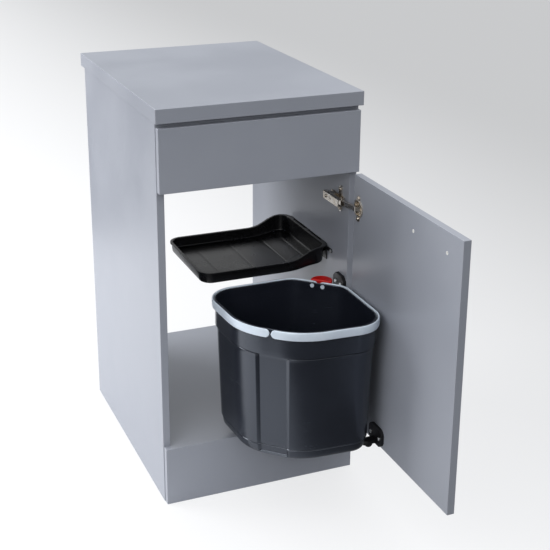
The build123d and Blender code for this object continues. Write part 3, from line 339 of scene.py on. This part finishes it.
def roundedOutline(corners, radii, count):  # straight runs and arcs, sampled at equal steps, with normals
    corners = np.array(corners, float)
    radii = np.array(radii, float)
    before = np.roll(corners, 1, axis=0) - corners
    after = np.roll(corners, -1, axis=0) - corners
    before /= np.linalg.norm(before, axis=1)[:, None]
    after /= np.linalg.norm(after, axis=1)[:, None]
    half = np.arccos(np.sum(before * after, axis=1)) / 2
    middle = before + after
    middle /= np.linalg.norm(middle, axis=1)[:, None]
    centres = corners + middle * (radii / np.sin(half))[:, None]
    first = corners + before * (radii / np.tan(half))[:, None] - centres
    last = corners + after * (radii / np.tan(half))[:, None] - centres
    angleFirst = np.arctan2(first[:, 1], first[:, 0])
    sweep = np.arctan2(last[:, 1], last[:, 0]) - angleFirst
    sweep = (sweep + np.pi) % (2 * np.pi) - np.pi
    angles = angleFirst[:, None] + sweep[:, None] * np.linspace(0, 1, arcSteps)[None]
    normals = np.stack([np.cos(angles), np.sin(angles)], axis=-1).reshape(-1, 2)
    points = (centres[:, None] + radii[:, None, None] * normals.reshape(len(corners), -1, 2)).reshape(-1, 2)
    points = np.vstack([points, points[:1]])
    normals = np.vstack([normals, normals[:1]])
    length = np.concatenate([[0], np.cumsum(np.linalg.norm(np.diff(points, axis=0), axis=1))])
    at = np.linspace(0, length[-1], count, endpoint=False)
    outline = np.stack([np.interp(at, length, points[:, k]) for k in (0, 1)], axis=-1)
    facing = np.stack([np.interp(at, length, normals[:, k]) for k in (0, 1)], axis=-1)
    return outline, facing / np.linalg.norm(facing, axis=1)[:, None], length[-1]


def drawnIn(plan, facing, middle, rows):  # the outline at each row's inset, moved its share to the middle
    rim = plan[None] - rows[:, 0, None, None] * facing[None]
    return rim + (middle - rim) * rows[:, 2, None, None]


def fullTurn(count):
    return np.linspace(0, 2 * np.pi, count, endpoint=False)


def ease(value, low, high):  # 0 to 1 between two values, level at both ends
    part = np.clip((value - low) / (high - low), 0, 1)
    return part * part * (3 - 2 * part)


# bucket: one closed skin, a wall profile carried round the plan
# its own plan directions run from the swing axis to the nose and across
bucket = {
    "axis": (163.0, 47.0), "back": 23.0, "side": 26.4, "nose": 289.0, "corner": 203.0, "noseHalf": 66.0,
    "radii": (40.0, 58.0, 130.0),
    "bottom": 153.6, "crease": 177.6, "collar": 390.6, "rim": 449.6, "wall": 3.0, "floor": 4.0,
    "sole": 19.5, "foot": 14.0, "low": 11.5, "high": 4.5,  # insets from the collar
    "panelHalf": 30.0, "panelBevel": 8.0, "panelSink": 5.5, "noseFrom": 200.0,
    "panelEdges": np.array([-0.5, 0.0, 0.5, 2.6, 5.2, 7.4, 8.0, 8.6]),  # stations across the bevel
    "panelTop": np.array([0.3, 1.5]), "panelFoot": np.array([2.0, 7.0]),  # where it fades, below collar and above sole
    "peg": (127.0, -100.0), "socket": 4.2, "socketTop": 165.9, "hub": 9.0, "hubTop": 169.6,
    "soleRing": 46.0, "floorRing": 50.0,  # insets where sole and floor take over from the wall
    "samples": 8000, "noseSamples": 400, "stations": 72, "stationStep": 4.0, "pastPanel": 2.0, "rowStep": 14.0,
    "closing": (0.06, 0.94, 7),  # first and last share of the way from socket to wall, and rows
}
diagonal = math.sqrt(0.5)  # the nose points halfway between left and front


def fromBin(along, across, height):  # the bucket's own directions to the shared frame
    return np.stack([
        bucket["axis"][0] + (across - along) * diagonal,
        bucket["axis"][1] - (across + along) * diagonal,
        np.broadcast_to(height, np.shape(along)),
    ], axis=-1)


def toBin(x, y):  # a plan point of the shared frame in the bucket's own directions
    dx, dy = bucket["axis"][0] - x, bucket["axis"][1] - y
    return np.array([(dx + dy) * diagonal, (dy - dx) * diagonal])


def bucketOutline():  # six corners, alike on both sides of the nose, each rounded by its own arc
    b = bucket
    side = b["side"] * math.sqrt(2)
    half = [(b["back"], b["back"] + side), (b["corner"] - side, b["corner"]), (b["nose"], b["noseHalf"])]
    corners = half + [(x, -y) for x, y in reversed(half)]
    radii = b["radii"] + b["radii"][::-1]
    plan, facing, length = roundedOutline(corners, radii, b["samples"])
    offMiddle = np.where(plan[:, 0] < b["noseFrom"], np.inf, np.abs(plan[:, 1]))
    first = np.argmin(offMiddle)  # start in the middle of the nose
    return np.roll(plan, -first, axis=0), np.roll(facing, -first, axis=0), length


binPlan, binFacing, binLength = bucketOutline()


def alongBin(distance):  # plan point and normal at distances from the middle of the nose
    at = np.linspace(0, binLength, len(binPlan) + 1)
    plan = np.vstack([binPlan, binPlan[:1]])
    facing = np.vstack([binFacing, binFacing[:1]])
    distance = np.mod(distance, binLength)
    point = np.stack([np.interp(distance, at, plan[:, k]) for k in (0, 1)], axis=-1)
    normal = np.stack([np.interp(distance, at, facing[:, k]) for k in (0, 1)], axis=-1)
    return point, normal / np.linalg.norm(normal, axis=1)[:, None]


def makeBucket():
    b = bucket
    # stations round the plan, closest on the bevels of the nose panel
    near = binPlan[:b["noseSamples"], 1]
    reach = np.arange(len(near)) * binLength / len(binPlan)
    edges = np.interp(b["panelHalf"] + b["panelEdges"], near * np.sign(near[-1]), reach)
    inner = np.arange(0, b["panelHalf"] - 1, b["stationStep"])
    half = np.concatenate([inner, edges, np.linspace(edges[-1] + b["pastPanel"], binLength / 2, b["stations"])])
    stations = np.concatenate([half, binLength - half[-2:0:-1]])
    point, normal = alongBin(stations)
    peg = toBin(*b["peg"])
    spoke = point - peg
    spoke /= np.linalg.norm(spoke, axis=1)[:, None]

    # wall profile as inset, height and corner radius, up the outside, over the rim and down to the floor
    bottom, crease, collar, rim, wall = b["bottom"], b["crease"], b["collar"], b["rim"], b["wall"]
    sole, foot, low, high, floorTop = b["sole"], b["foot"], b["low"], b["high"], bottom + b["floor"]
    bends = np.array([
        (b["soleRing"], bottom, 0.0), (sole - 0.4, bottom, 4.0), (sole - 3.6, bottom + 6.0, 5.0),
        (foot, crease - 4.2, 1.2), (foot + 1.8, crease - 2.4, 0.6), (foot + 1.8, crease, 0.6),  # groove over the foot
        (low, crease, 0.8), (high - 0.1, collar - 9.0, 3.0),
        (high - 1.2, collar - 3.8, 1.2), (high + 1.2, collar - 1.9, 0.5),  # small shoulder under the collar
        (high + 1.2, collar, 0.5), (0.0, collar, 1.0), (0.0, rim, 1.5), (wall, rim, 1.5),
        (wall, collar + 42.0, 16.0), (high + wall + 1.2, collar - 34.0, 30.0),  # soft bend inside
        (foot + wall, crease + wall, 5.0), (sole + wall, floorTop, 5.0), (b["floorRing"], floorTop, 0.0),
    ])
    outer = softPath(bends[:, :2], bends[1:-1, 2], steps=6)
    # more rows on the long straight stretches
    gaps = np.ceil(np.linalg.norm(np.diff(outer, axis=0), axis=1) / b["rowStep"])
    gaps = np.maximum(1, gaps).astype(int)
    parts = np.concatenate([np.arange(n) / n for n in gaps] + [[1.0]])
    owner = np.concatenate([np.repeat(np.arange(len(gaps)), gaps), [len(gaps) - 1]])
    profile = outer[owner] + (outer[owner + 1] - outer[owner]) * parts[:, None]
    inset, height = profile[:, 0], profile[:, 1]

    edge = point[None] - inset[:, None, None] * normal[None]
    # flat panel let into the nose, from the foot to the collar, wall and inside alike
    tall = ease(height, *(collar - b["panelTop"])) * ease(height, *(bottom + b["panelFoot"]))
    flat = b["nose"] - inset[:, None] - b["panelSink"]
    share = np.clip((b["panelHalf"] + b["panelBevel"] - np.abs(point[:, 1])) / b["panelBevel"], 0, 1)
    sunk = np.minimum(edge[..., 0], flat) - edge[..., 0]
    edge[..., 0] += sunk * share[None] * tall[:, None] * (point[:, 0] > b["noseFrom"])[None]

    def level(plan, heights):
        return np.concatenate([plan, np.broadcast_to(heights, (*plan.shape[:2], 1))], axis=-1)

    def turned(rows):  # rows of radius and height round the socket of the pull link's peg
        return level(peg + rows[:, 0, None, None] * spoke[None], rows[:, 1, None, None])

    def closing(shares, radius, at, setIn):  # sole or floor between the wall and that socket
        far = shares[:, None, None]
        return level(far * (point - setIn * normal)[None] + (1 - far) * (peg + radius * spoke)[None], at)

    socket, socketTop, hub, hubTop = b["socket"], b["socketTop"], b["hub"], b["hubTop"]
    shares = np.linspace(*b["closing"])
    rows = np.concatenate([
        turned(np.array([(0.0, socketTop), (socket - 0.4, socketTop), (socket, socketTop - 0.4),
                         (socket, bottom + 0.6), (socket + 0.6, bottom)])),
        closing(shares, socket + 0.6, bottom, b["soleRing"]),
        level(edge, height[:, None, None]),
        closing(shares[::-1], hub + 0.8, floorTop, b["floorRing"]),
        turned(np.array([(hub + 0.8, floorTop), (hub, floorTop + 0.8), (hub, hubTop - 0.8),
                         (hub - 0.8, hubTop), (0.0, hubTop)])),
    ])
    skin = fromBin(rows[..., 0], rows[..., 1], rows[..., 2])
    faces = gridFaces(len(rows), len(point), True)
    addPiece("bucketSkin", skin, faces, "bucket", "bucket_plastic", ["bucket"])


makeBucket()


# hook pocket on the bucket's back: an upturned cup on a rounded oblong
pocket = {
    "near": 12.0, "far": 23.4, "half": 25.0, "bottom": 398.6, "top": 428.6, "wall": 2.5, "radius": 3.0,
    "samples": 160,
}


def makePocket():
    p = pocket
    near, far, half, low, top, wall = p["near"], p["far"], p["half"], p["bottom"], p["top"], p["wall"]
    corners = [(near, half), (far, half), (far, -half), (near, -half)]
    plan, facing, _ = roundedOutline(corners, [p["radius"]] * 4, p["samples"])
    # rows as inset, height and share to the middle
    rows = np.array([
        (0.0, top, 1.0), (2.6, top, 0.0), (1.2, top, 0.0), (0.4, top - 0.3, 0.0), (0.0, top - 1.2, 0.0),
        (0.0, low + 0.8, 0.0), (0.3, low + 0.2, 0.0), (0.8, low, 0.0),
        (wall - 0.4, low, 0.0), (wall, low + 0.6, 0.0),
        (wall, top - wall - 0.4, 0.0), (wall + 0.4, top - wall, 0.0), (wall, top - wall, 1.0),
    ])
    spots = drawnIn(plan, facing, np.array([(near + far) / 2, 0.0]), rows)
    skin = fromBin(spots[..., 0], spots[..., 1], rows[:, 1, None])
    addPiece("hookPocket", skin, gridFaces(len(rows), len(plan), True), "bucket", "bucket_plastic")


makePocket()


# bosses under the rivets: short turned pads between collar and band
boss = {
    "radius": 6.5, "height": 2.7, "root": -0.8, "across": 12.0, "level": 442.6, "sides": 40,
    "walls": ((bucket["nose"], 1.0), (bucket["back"], -1.0)),  # front and back wall with their outward direction
}


def makeBosses():
    turn = fullTurn(boss["sides"])
    r, h, root = boss["radius"], boss["height"], boss["root"]
    # rows of radius and height, turned about the rivet's axis
    rows = np.array([(0.0, root), (r, root), (r, h - 0.5), (r - 0.15, h - 0.15), (r - 0.5, h), (0.0, h)])
    spots, faces = [], []
    for wall, outward in boss["walls"]:
        for side in (-1, 1):
            along = np.broadcast_to(wall + outward * rows[:, 1, None], (len(rows), len(turn)))
            across = side * boss["across"] + rows[:, 0, None] * np.cos(turn)
            level = boss["level"] + rows[:, 0, None] * np.sin(turn)
            faces.append(gridFaces(len(rows), len(turn), True, len(spots) * along.size))
            spots.append(fromBin(along, across, level).reshape(-1, 3))
    addPiece("rivetBosses", np.concatenate(spots), np.concatenate(faces), "bucket", "bucket_plastic")


makeBosses()


# handles: a crowned band carried round each half of the collar, its ends rounded about the rivets
band = {
    "gap": 3.0, "thickness": 4.0, "height": 17.8, "top": 450.4, "clear": 2.0, "crown": 0.5,
    "square": (0.32, 0.42),  # powers of the section, out and up: the smaller, the squarer
    "endSteps": 14, "runSteps": 90, "sides": 44,
}


def makeHandle(name, side):
    t, h = band["thickness"], band["height"]
    bend = (1 - np.cos(np.linspace(0, np.pi / 2, band["endSteps"]))) * h / 2
    ends = (band["clear"], binLength / 2 - band["clear"])
    run = np.linspace(ends[0] + h / 2, ends[1] - h / 2, band["runSteps"])[1:-1]
    distance = np.concatenate([ends[0] + bend, run, ends[1] - bend[::-1]])
    nearest = np.minimum(distance - ends[0], ends[1] - distance)
    tall = np.sqrt(np.clip(1 - (1 - np.clip(nearest / (h / 2), 0, 1)) ** 2, 0, 1))
    point, normal = alongBin(distance)
    # section: an oblong with eased corners and a slight crown outside
    phi = fullTurn(band["sides"])
    squareOut, squareUp = band["square"]
    out = np.sign(np.cos(phi)) * np.abs(np.cos(phi)) ** squareOut
    up = np.sign(np.sin(phi)) * np.abs(np.sin(phi)) ** squareUp
    crown = np.where(out > 0, band["crown"] * (1 - up ** 2), 0.0)
    offset = band["gap"] + t / 2 + out * (t / 2 - band["crown"] * (out > 0)) + crown
    plan = point[:, None] + offset[None, :, None] * normal[:, None]
    level = band["top"] - h / 2 + up[None] * tall[:, None] * h / 2
    skin = fromBin(plan[..., 0], -side * plan[..., 1], level)
    addPiece(name + "Band", skin, gridFaces(len(distance), len(phi), True), name, "handle_plastic", [name])


makeHandle("handle_left", -1)
makeHandle("handle_right", 1)


# tray: wall profile round a rounded oblong, closed by a floor and an underside on one shared edge
tray = {
    "left": -98.0, "right": 196.0, "front": 92.0, "back": 332.0, "radius": 28.0,
    "bottom": 456.6, "floorRise": 10.0, "lowRim": 482.6, "highRim": 507.6,
    "riseStart": 96.0, "riseEnd": 188.0,
    "wall": 2.5, "lip": 4.0, "endLip": 8.5, "lipHeight": 4.0,
    "slots": ((290.0, 218.0), (206.0, 134.0)), "slotReach": (2.5, 6.5),  # through the raised end's wide lip
    "grooves": (-42.0, 40.0, 122.0, 164.0), "grooveHalf": 1.3, "grooveDepth": 0.9,
    "grooveEdges": np.array([-1.6, -1.0, -0.35, 0.35, 1.0, 1.6]),  # columns in half widths
    "grooveSides": (1.2, 0.3), "grooveEnds": (0.995, 0.97),  # half widths, and shares of the floor's depth
    "floorInset": 14.0, "columnStep": 7.0, "rows": 41, "cornerSteps": 13, "riseSteps": 400,
}


def trayRise(x):  # share of the rise at x: a cubic curve with level ends
    s = np.linspace(0, 1, tray["riseSteps"])
    across = tray["riseStart"] + (tray["riseEnd"] - tray["riseStart"]) * (1.5 * s - 1.5 * s ** 2 + s ** 3)
    return np.interp(x, across, 3 * s ** 2 - 2 * s ** 3)


def trayUnder(x):  # height of the underside
    return tray["bottom"] + tray["floorRise"] * trayRise(x)


def trayRim(x):  # height of the rim
    return tray["lowRim"] + (tray["highRim"] - tray["lowRim"]) * trayRise(x)


def makeTray():
    t = tray
    r = t["radius"]
    middle = (t["front"] + t["back"]) / 2
    straight = (t["back"] - t["front"]) / 2 - r
    g = t["grooveHalf"]
    step = t["columnStep"]
    columns = np.arange(t["left"] + r, t["right"] - r + 0.1, step)
    for groove in t["grooves"]:  # columns on the grooves' edges
        columns = columns[np.abs(columns - groove) > step / 2]
        columns = np.concatenate([columns, groove + g * t["grooveEdges"]])
    columns = np.unique(np.concatenate([columns, [t["left"] + r, t["right"] - r]]))
    turn = np.linspace(0, np.pi / 2, t["cornerSteps"])
    # back edge from left to right: plan point and normal
    leftArc = np.stack([t["left"] + r - r * np.cos(turn), middle + straight + r * np.sin(turn)], axis=-1)
    rightArc = np.stack([t["right"] - r + r * np.sin(turn), middle + straight + r * np.cos(turn)], axis=-1)
    line = np.stack([columns[1:-1], np.full(len(columns) - 2, t["back"])], axis=-1)
    back = np.vstack([leftArc, line, rightArc])
    backFacing = np.vstack([
        np.stack([-np.cos(turn), np.sin(turn)], axis=-1), np.broadcast_to([0.0, 1.0], line.shape),
        np.stack([np.sin(turn), np.cos(turn)], axis=-1)])
    slotEnds = (np.ravel(t["slots"]) - middle) / straight
    rows = np.unique(np.concatenate([np.linspace(-1, 1, t["rows"]), slotEnds]))[::-1]
    inner = rows[1:-1] * straight + middle
    flip = np.array([1.0, -1.0])
    front = (back - [0, middle]) * flip + [0, middle]
    rightEnd = np.stack([np.full(len(inner), t["right"]), inner], axis=-1)
    leftEnd = np.stack([np.full(len(inner), t["left"]), inner[::-1]], axis=-1)
    plan = np.vstack([back, rightEnd, front[::-1], leftEnd])
    facing = np.vstack([backFacing, np.broadcast_to([1.0, 0.0], rightEnd.shape), (backFacing * flip)[::-1],
                        np.broadcast_to([-1.0, 0.0], leftEnd.shape)])

    # profile: offset, height above the underside, height from the rim, share of the rim
    w, lip, h, inset = t["wall"], t["lip"], t["lipHeight"], t["floorInset"]
    hole = lip / t["endLip"] * np.array(t["slotReach"])  # slot edges as offsets before the end is stretched
    low = softPath([(-inset, 0), (-1.5, 0), (0, 12)], [6.5], steps=7)
    beneath = softPath([(0, -8), (0, -h), (hole[0], -h)], [0.5], steps=4)
    beyond = softPath([(hole[1], -h), (lip, -h), (lip, 0), (hole[1], 0)], [0.6, 0.85], steps=5)
    above = softPath([(hole[0], 0), (-w, 0), (-w - 0.4, -8)], [2.0], steps=5)
    high = np.vstack([beneath, beyond, above])
    lowIn = len(low) + len(beneath) - 1  # last row before a slot, below and above
    topOut = lowIn + len(beyond)
    deep = softPath([(-w - 0.8, w + 9), (-w - 1.5, w), (-inset, w)], [5.0], steps=7)
    lows = np.column_stack([low, np.zeros(len(low)), np.zeros(len(low))])
    highs = np.column_stack([high[:, 0], np.zeros(len(high)), high[:, 1], np.ones(len(high))])
    deeps = np.column_stack([deep, np.zeros(len(deep)), np.zeros(len(deep))])
    profile = np.vstack([lows, highs, deeps])
    spots = plan[None] + profile[:, 0, None, None] * facing[None]
    far = np.clip((plan[:, 0] - t["left"] - r) / (t["right"] - t["left"] - 2 * r), 0, 1)
    stretch = (t["endLip"] - lip) / lip * np.clip(profile[:, 0], 0, lip)
    spots[..., 0] += stretch[:, None] * far[None]
    under, rim = trayUnder(spots[..., 0]), trayRim(spots[..., 0])
    share = profile[:, 3, None]
    level = (under + profile[:, 1, None]) * (1 - share) + (rim + profile[:, 2, None]) * share
    wallSkin = np.concatenate([spots, level[..., None]], axis=-1)

    # floor and underside: columns across, rows between the two long edges
    edge = back - inset * backFacing
    x = np.broadcast_to(edge[:, 0], (len(rows), len(edge)))
    y = middle + rows[:, None] * (edge[:, 1] - middle)
    cut = np.zeros(len(edge))
    rimmed, deepest = (g * side for side in t["grooveSides"])
    for groove in t["grooves"]:
        cut = np.maximum(cut, ease(np.abs(edge[:, 0] - groove), rimmed, deepest))
    inside = ease(np.abs(rows), *t["grooveEnds"])
    floor = np.stack([x, y, trayUnder(x) + w - t["grooveDepth"] * cut * inside[:, None]], axis=-1)
    below = np.stack([x, y, trayUnder(x)], axis=-1)
    count = wallSkin.shape[0] * wallSkin.shape[1]
    wallFaces = gridFaces(*wallSkin.shape[:2], True).reshape(len(profile) - 1, len(plan), 4)
    keep = np.ones(wallFaces.shape[:2], bool)
    index = np.arange(count).reshape(wallSkin.shape[:2])
    gates = []
    endLevel = np.where(plan[:, 0] < t["right"] - 0.01, np.inf, plan[:, 1])  # only the raised end counts
    for slot in t["slots"]:  # open both skins and line the hole
        start, end = (np.argmin(np.abs(endLevel - y)) for y in slot)
        keep[[lowIn, topOut], start:end] = False
        loop = np.arange(start, end)
        for a, c in ((lowIn, topOut + 1), (topOut, lowIn + 1)):
            sides = [index[a, loop], index[a, loop + 1], index[c, loop + 1], index[c, loop]]
            gates.append(np.stack(sides, axis=-1))
        for at in (start, end):
            gates.append(index[[lowIn, lowIn + 1, topOut, topOut + 1], at][None])
    faces = np.concatenate([
        wallFaces[keep], *gates, gridFaces(*floor.shape[:2], False, count),
        gridFaces(*below.shape[:2], False, count + floor.shape[0] * floor.shape[1])])
    points = np.concatenate([wallSkin.reshape(-1, 3), floor.reshape(-1, 3), below.reshape(-1, 3)])
    addPiece("trayShell", points, faces, "tray", "tray_plastic", ["tray"])


makeTray()


# hook under the tray's wide lip: an upright strip with eased edges
hook = {"x": (202.5, 204.4), "y": (126.0, 298.0), "z": (491.6, 504.6), "round": 0.6, "samples": 120}


def makeHook():
    (x0, x1), (y0, y1), (z0, z1) = hook["x"], hook["y"], hook["z"]
    corners = [(x0, y0), (x1, y0), (x1, y1), (x0, y1)]
    plan, facing, _ = roundedOutline(corners, [hook["round"]] * 4, hook["samples"])
    # rows as inset, height and share to the middle
    rows = np.array([
        (0.5, z0, 1.0), (0.5, z0, 0.0), (0.15, z0 + 0.15, 0.0), (0.0, z0 + 0.5, 0.0), (0.0, z1, 0.0), (0.0, z1, 1.0),
    ])
    spots = drawnIn(plan, facing, np.array([(x0 + x1) / 2, (y0 + y1) / 2]), rows)
    heights = np.broadcast_to(rows[:, 1, None, None], (*spots.shape[:2], 1))
    skin = np.concatenate([spots, heights], axis=-1)
    addPiece("trayHook", skin, gridFaces(len(rows), len(plan), True), "tray", "tray_plastic")


makeHook()


# pale sleeves with a small rim in the door's two handle holes
core = {
    "fromEdge": (55.0, 183.0), "drop": 42.0, "outer": 2.47, "inner": 2.1, "rim": 3.7, "proud": 0.35, "sides": 24,
    "shy": 0.05,  # how far it ends inside the door's outer face
}
finishes["core"] = coated("paleSleeve", {
    "deep": (0.74, 0.73, 0.70), "pale": (0.84, 0.83, 0.81), "worn": (0.6, 0.58, 0.54),
    "cloud": 300.0, "scuff": 200.0, "rubbed": 0.2, "rough": (0.6, 0.8), "grain": 4000.0, "bump": 0.3,
})


def makeCores():
    # the section of the sleeve's wall and rim carried round each hole's axis
    turn = fullTurn(core["sides"])
    low, high = (toMillimetres * np.array(corner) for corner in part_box("door"))
    r0, r1, r2 = core["inner"], core["outer"], core["rim"]
    face, end = low[0], high[0] - core["shy"]
    top = face - core["proud"]
    rows = np.array([  # place along the axis, and radius
        (top, r0), (top, r2 - 0.3), (top + 0.1, r2 - 0.08), (top + 0.25, r2), (face, r2), (face, r1),
        (end, r1), (end, r0), (top, r0),
    ])
    x = np.broadcast_to(rows[:, 0, None], (len(rows), len(turn)))
    spots, faces = [], []
    for reach in core["fromEdge"]:
        y = low[1] + reach + rows[:, 1, None] * np.cos(turn)
        z = high[2] - core["drop"] + rows[:, 1, None] * np.sin(turn)
        faces.append(gridFaces(len(rows), len(turn), True, len(spots) * x.size))
        spots.append(np.stack([x, y, z], axis=-1).reshape(-1, 3))
    spots, faces = np.concatenate(spots), np.concatenate(faces)
    piece = addPiece("handleHoleCores", spots, faces, "door", "lacquered_board")
    piece.data.materials[0] = finishes["core"]


makeCores()


def lookAt(at, aim):  # placed at one point and turned to another
    turn = (Vector(aim) - Vector(at)).to_track_quat("-Z", "Y").to_matrix().to_4x4()
    return Matrix.Translation(at) @ turn


# camera at the photo's angle, lens and shift for a square picture
view = {
    "place": (-0.8624, -2.1411, 1.4266), "aim": (0.0311, 0.0, 0.6197),
    "roll": 0.39, "lens": 77.17, "shiftY": -0.1,  # roll in degrees
}


def addCamera():
    data = bpy.data.cameras.new("camera")
    data.lens = view["lens"]
    data.shift_y = view["shiftY"]
    data.dof.use_dof = False
    camera = bpy.data.objects.new("camera", data)
    bpy.context.scene.collection.objects.link(camera)
    roll = Matrix.Rotation(math.radians(view["roll"]), 4, "Z")
    camera.matrix_world = lookAt(view["place"], view["aim"]) @ roll
    bpy.context.scene.camera = camera


addCamera()


# pale studio: a floor with a painted pool of light at the left and painted shade beyond it, two soft lamps, a surround
# brightest overhead
# the camera itself sees floor and surround as a pale backdrop, which lights nothing
studio = {
    "reach": 9.0, "rough": 0.8,
    # the floor's two colours paint a pool of light at the left and painted shade beyond it; the pool's middle and
    # where it fades are given next
    "floorTone": (0.64, 0.645, 0.66), "paintedShadeTone": (0.04, 0.041, 0.043), "seenTone": (0.15, 0.151, 0.154),
    "paintedPoolMiddle": (-0.65, 0.6, 0.0), "paintedPoolFade": (0.9, 1.35),  # middle of the bright floor, and where it fades
    "away": (0.9, 0.05, 0.0),  # the backdrop turns greyer this way
    "falls": (-0.6, 2.4), "floorLift": (0.80, 0.34), "liftColour": (0.985, 0.99, 1.0, 1.0),
    "turns": (-0.3, 0.6), "backdrop": (0.92, 0.50), "skyColour": (0.97, 0.985, 1.0, 1.0),
    "climb": (0.12, 0.6), "horizon": 0.05, "zenith": 1.52,
    "lamps": {
        "keyLeft": {"at": (-2.4, 1.9, 1.35), "aim": (0.0, 0.2, 0.55), "size": 1.8, "power": 90.0},
        "frontLeft": {"at": (-2.3, -2.0, 1.6), "aim": (0.0, 0.0, 0.5), "size": 1.8, "power": 33.0},
    },
}


def between(tree, operation, vector, fixed):  # dot product with a fixed vector, or distance from it
    node = addNode(tree, "ShaderNodeVectorMath", operation=operation)
    node.inputs[1].default_value = fixed
    tree.links.new(vector, node.inputs[0])
    return node.outputs["Value"]


def addFloor():
    reach = studio["reach"]
    corners = [(-reach, -reach, 0), (reach, -reach, 0), (reach, reach, 0), (-reach, reach, 0)]
    mesh = bpy.data.meshes.new("studioFloor")
    mesh.from_pydata(corners, [], [(0, 1, 2, 3)])
    paint, tree, shader, where = newFinish("studioPaint")
    # painted pool of light: the floor's colour is pale round a spot at the left and near black beyond it, painted
    # shade standing in for light that falls only there
    beyondPaintedPool = spread(tree, between(tree, "DISTANCE", where, studio["paintedPoolMiddle"]), *studio["paintedPoolFade"])
    colour = blendColour(tree, beyondPaintedPool, studio["floorTone"], studio["paintedShadeTone"])
    seen = addNode(tree, "ShaderNodeLightPath").outputs["Is Camera Ray"]
    tree.links.new(blendColour(tree, seen, colour, studio["seenTone"]), shader.inputs["Base Color"])
    shader.inputs["Roughness"].default_value = studio["rough"]
    shader.inputs["Emission Color"].default_value = studio["liftColour"]
    away = between(tree, "DOT_PRODUCT", where, studio["away"])
    lift = spread(tree, away, *studio["falls"], *studio["floorLift"])
    tree.links.new(mathNode(tree, "MULTIPLY", seen, lift), shader.inputs["Emission Strength"])
    mesh.materials.append(paint)
    floor = bpy.data.objects.new("studioFloor", mesh)
    bpy.context.scene.collection.objects.link(floor)


def addLamps():
    for name, lamp in studio["lamps"].items():
        data = bpy.data.lights.new(name, "AREA")
        data.energy = lamp["power"]
        data.size = lamp["size"]
        light = bpy.data.objects.new(name, data)
        light.matrix_world = lookAt(lamp["at"], lamp["aim"])
        bpy.context.scene.collection.objects.link(light)


def addSurround():
    world = bpy.data.worlds.new("surround")
    bpy.context.scene.world = world
    world.use_nodes = True
    tree = world.node_tree
    back = tree.nodes["Background"]
    back.inputs["Color"].default_value = studio["skyColour"]
    split = addNode(tree, "ShaderNodeSeparateXYZ")
    aimed = addNode(tree, "ShaderNodeTexCoord").outputs["Generated"]
    tree.links.new(aimed, split.inputs[0])
    glow = spread(tree, split.outputs["Z"], *studio["climb"], studio["horizon"], studio["zenith"])
    seen = addNode(tree, "ShaderNodeLightPath").outputs["Is Camera Ray"]
    away = between(tree, "DOT_PRODUCT", aimed, studio["away"])
    pale = mathNode(tree, "MULTIPLY", seen, spread(tree, away, *studio["turns"], *studio["backdrop"]))
    unseen = mathNode(tree, "MULTIPLY", mathNode(tree, "SUBTRACT", 1.0, seen), glow)
    tree.links.new(mathNode(tree, "ADD", pale, unseen), back.inputs["Strength"])
    bpy.context.scene.view_settings.view_transform = "Standard"


addFloor()
addLamps()
addSurround()
print("camera, floor and lamps placed")
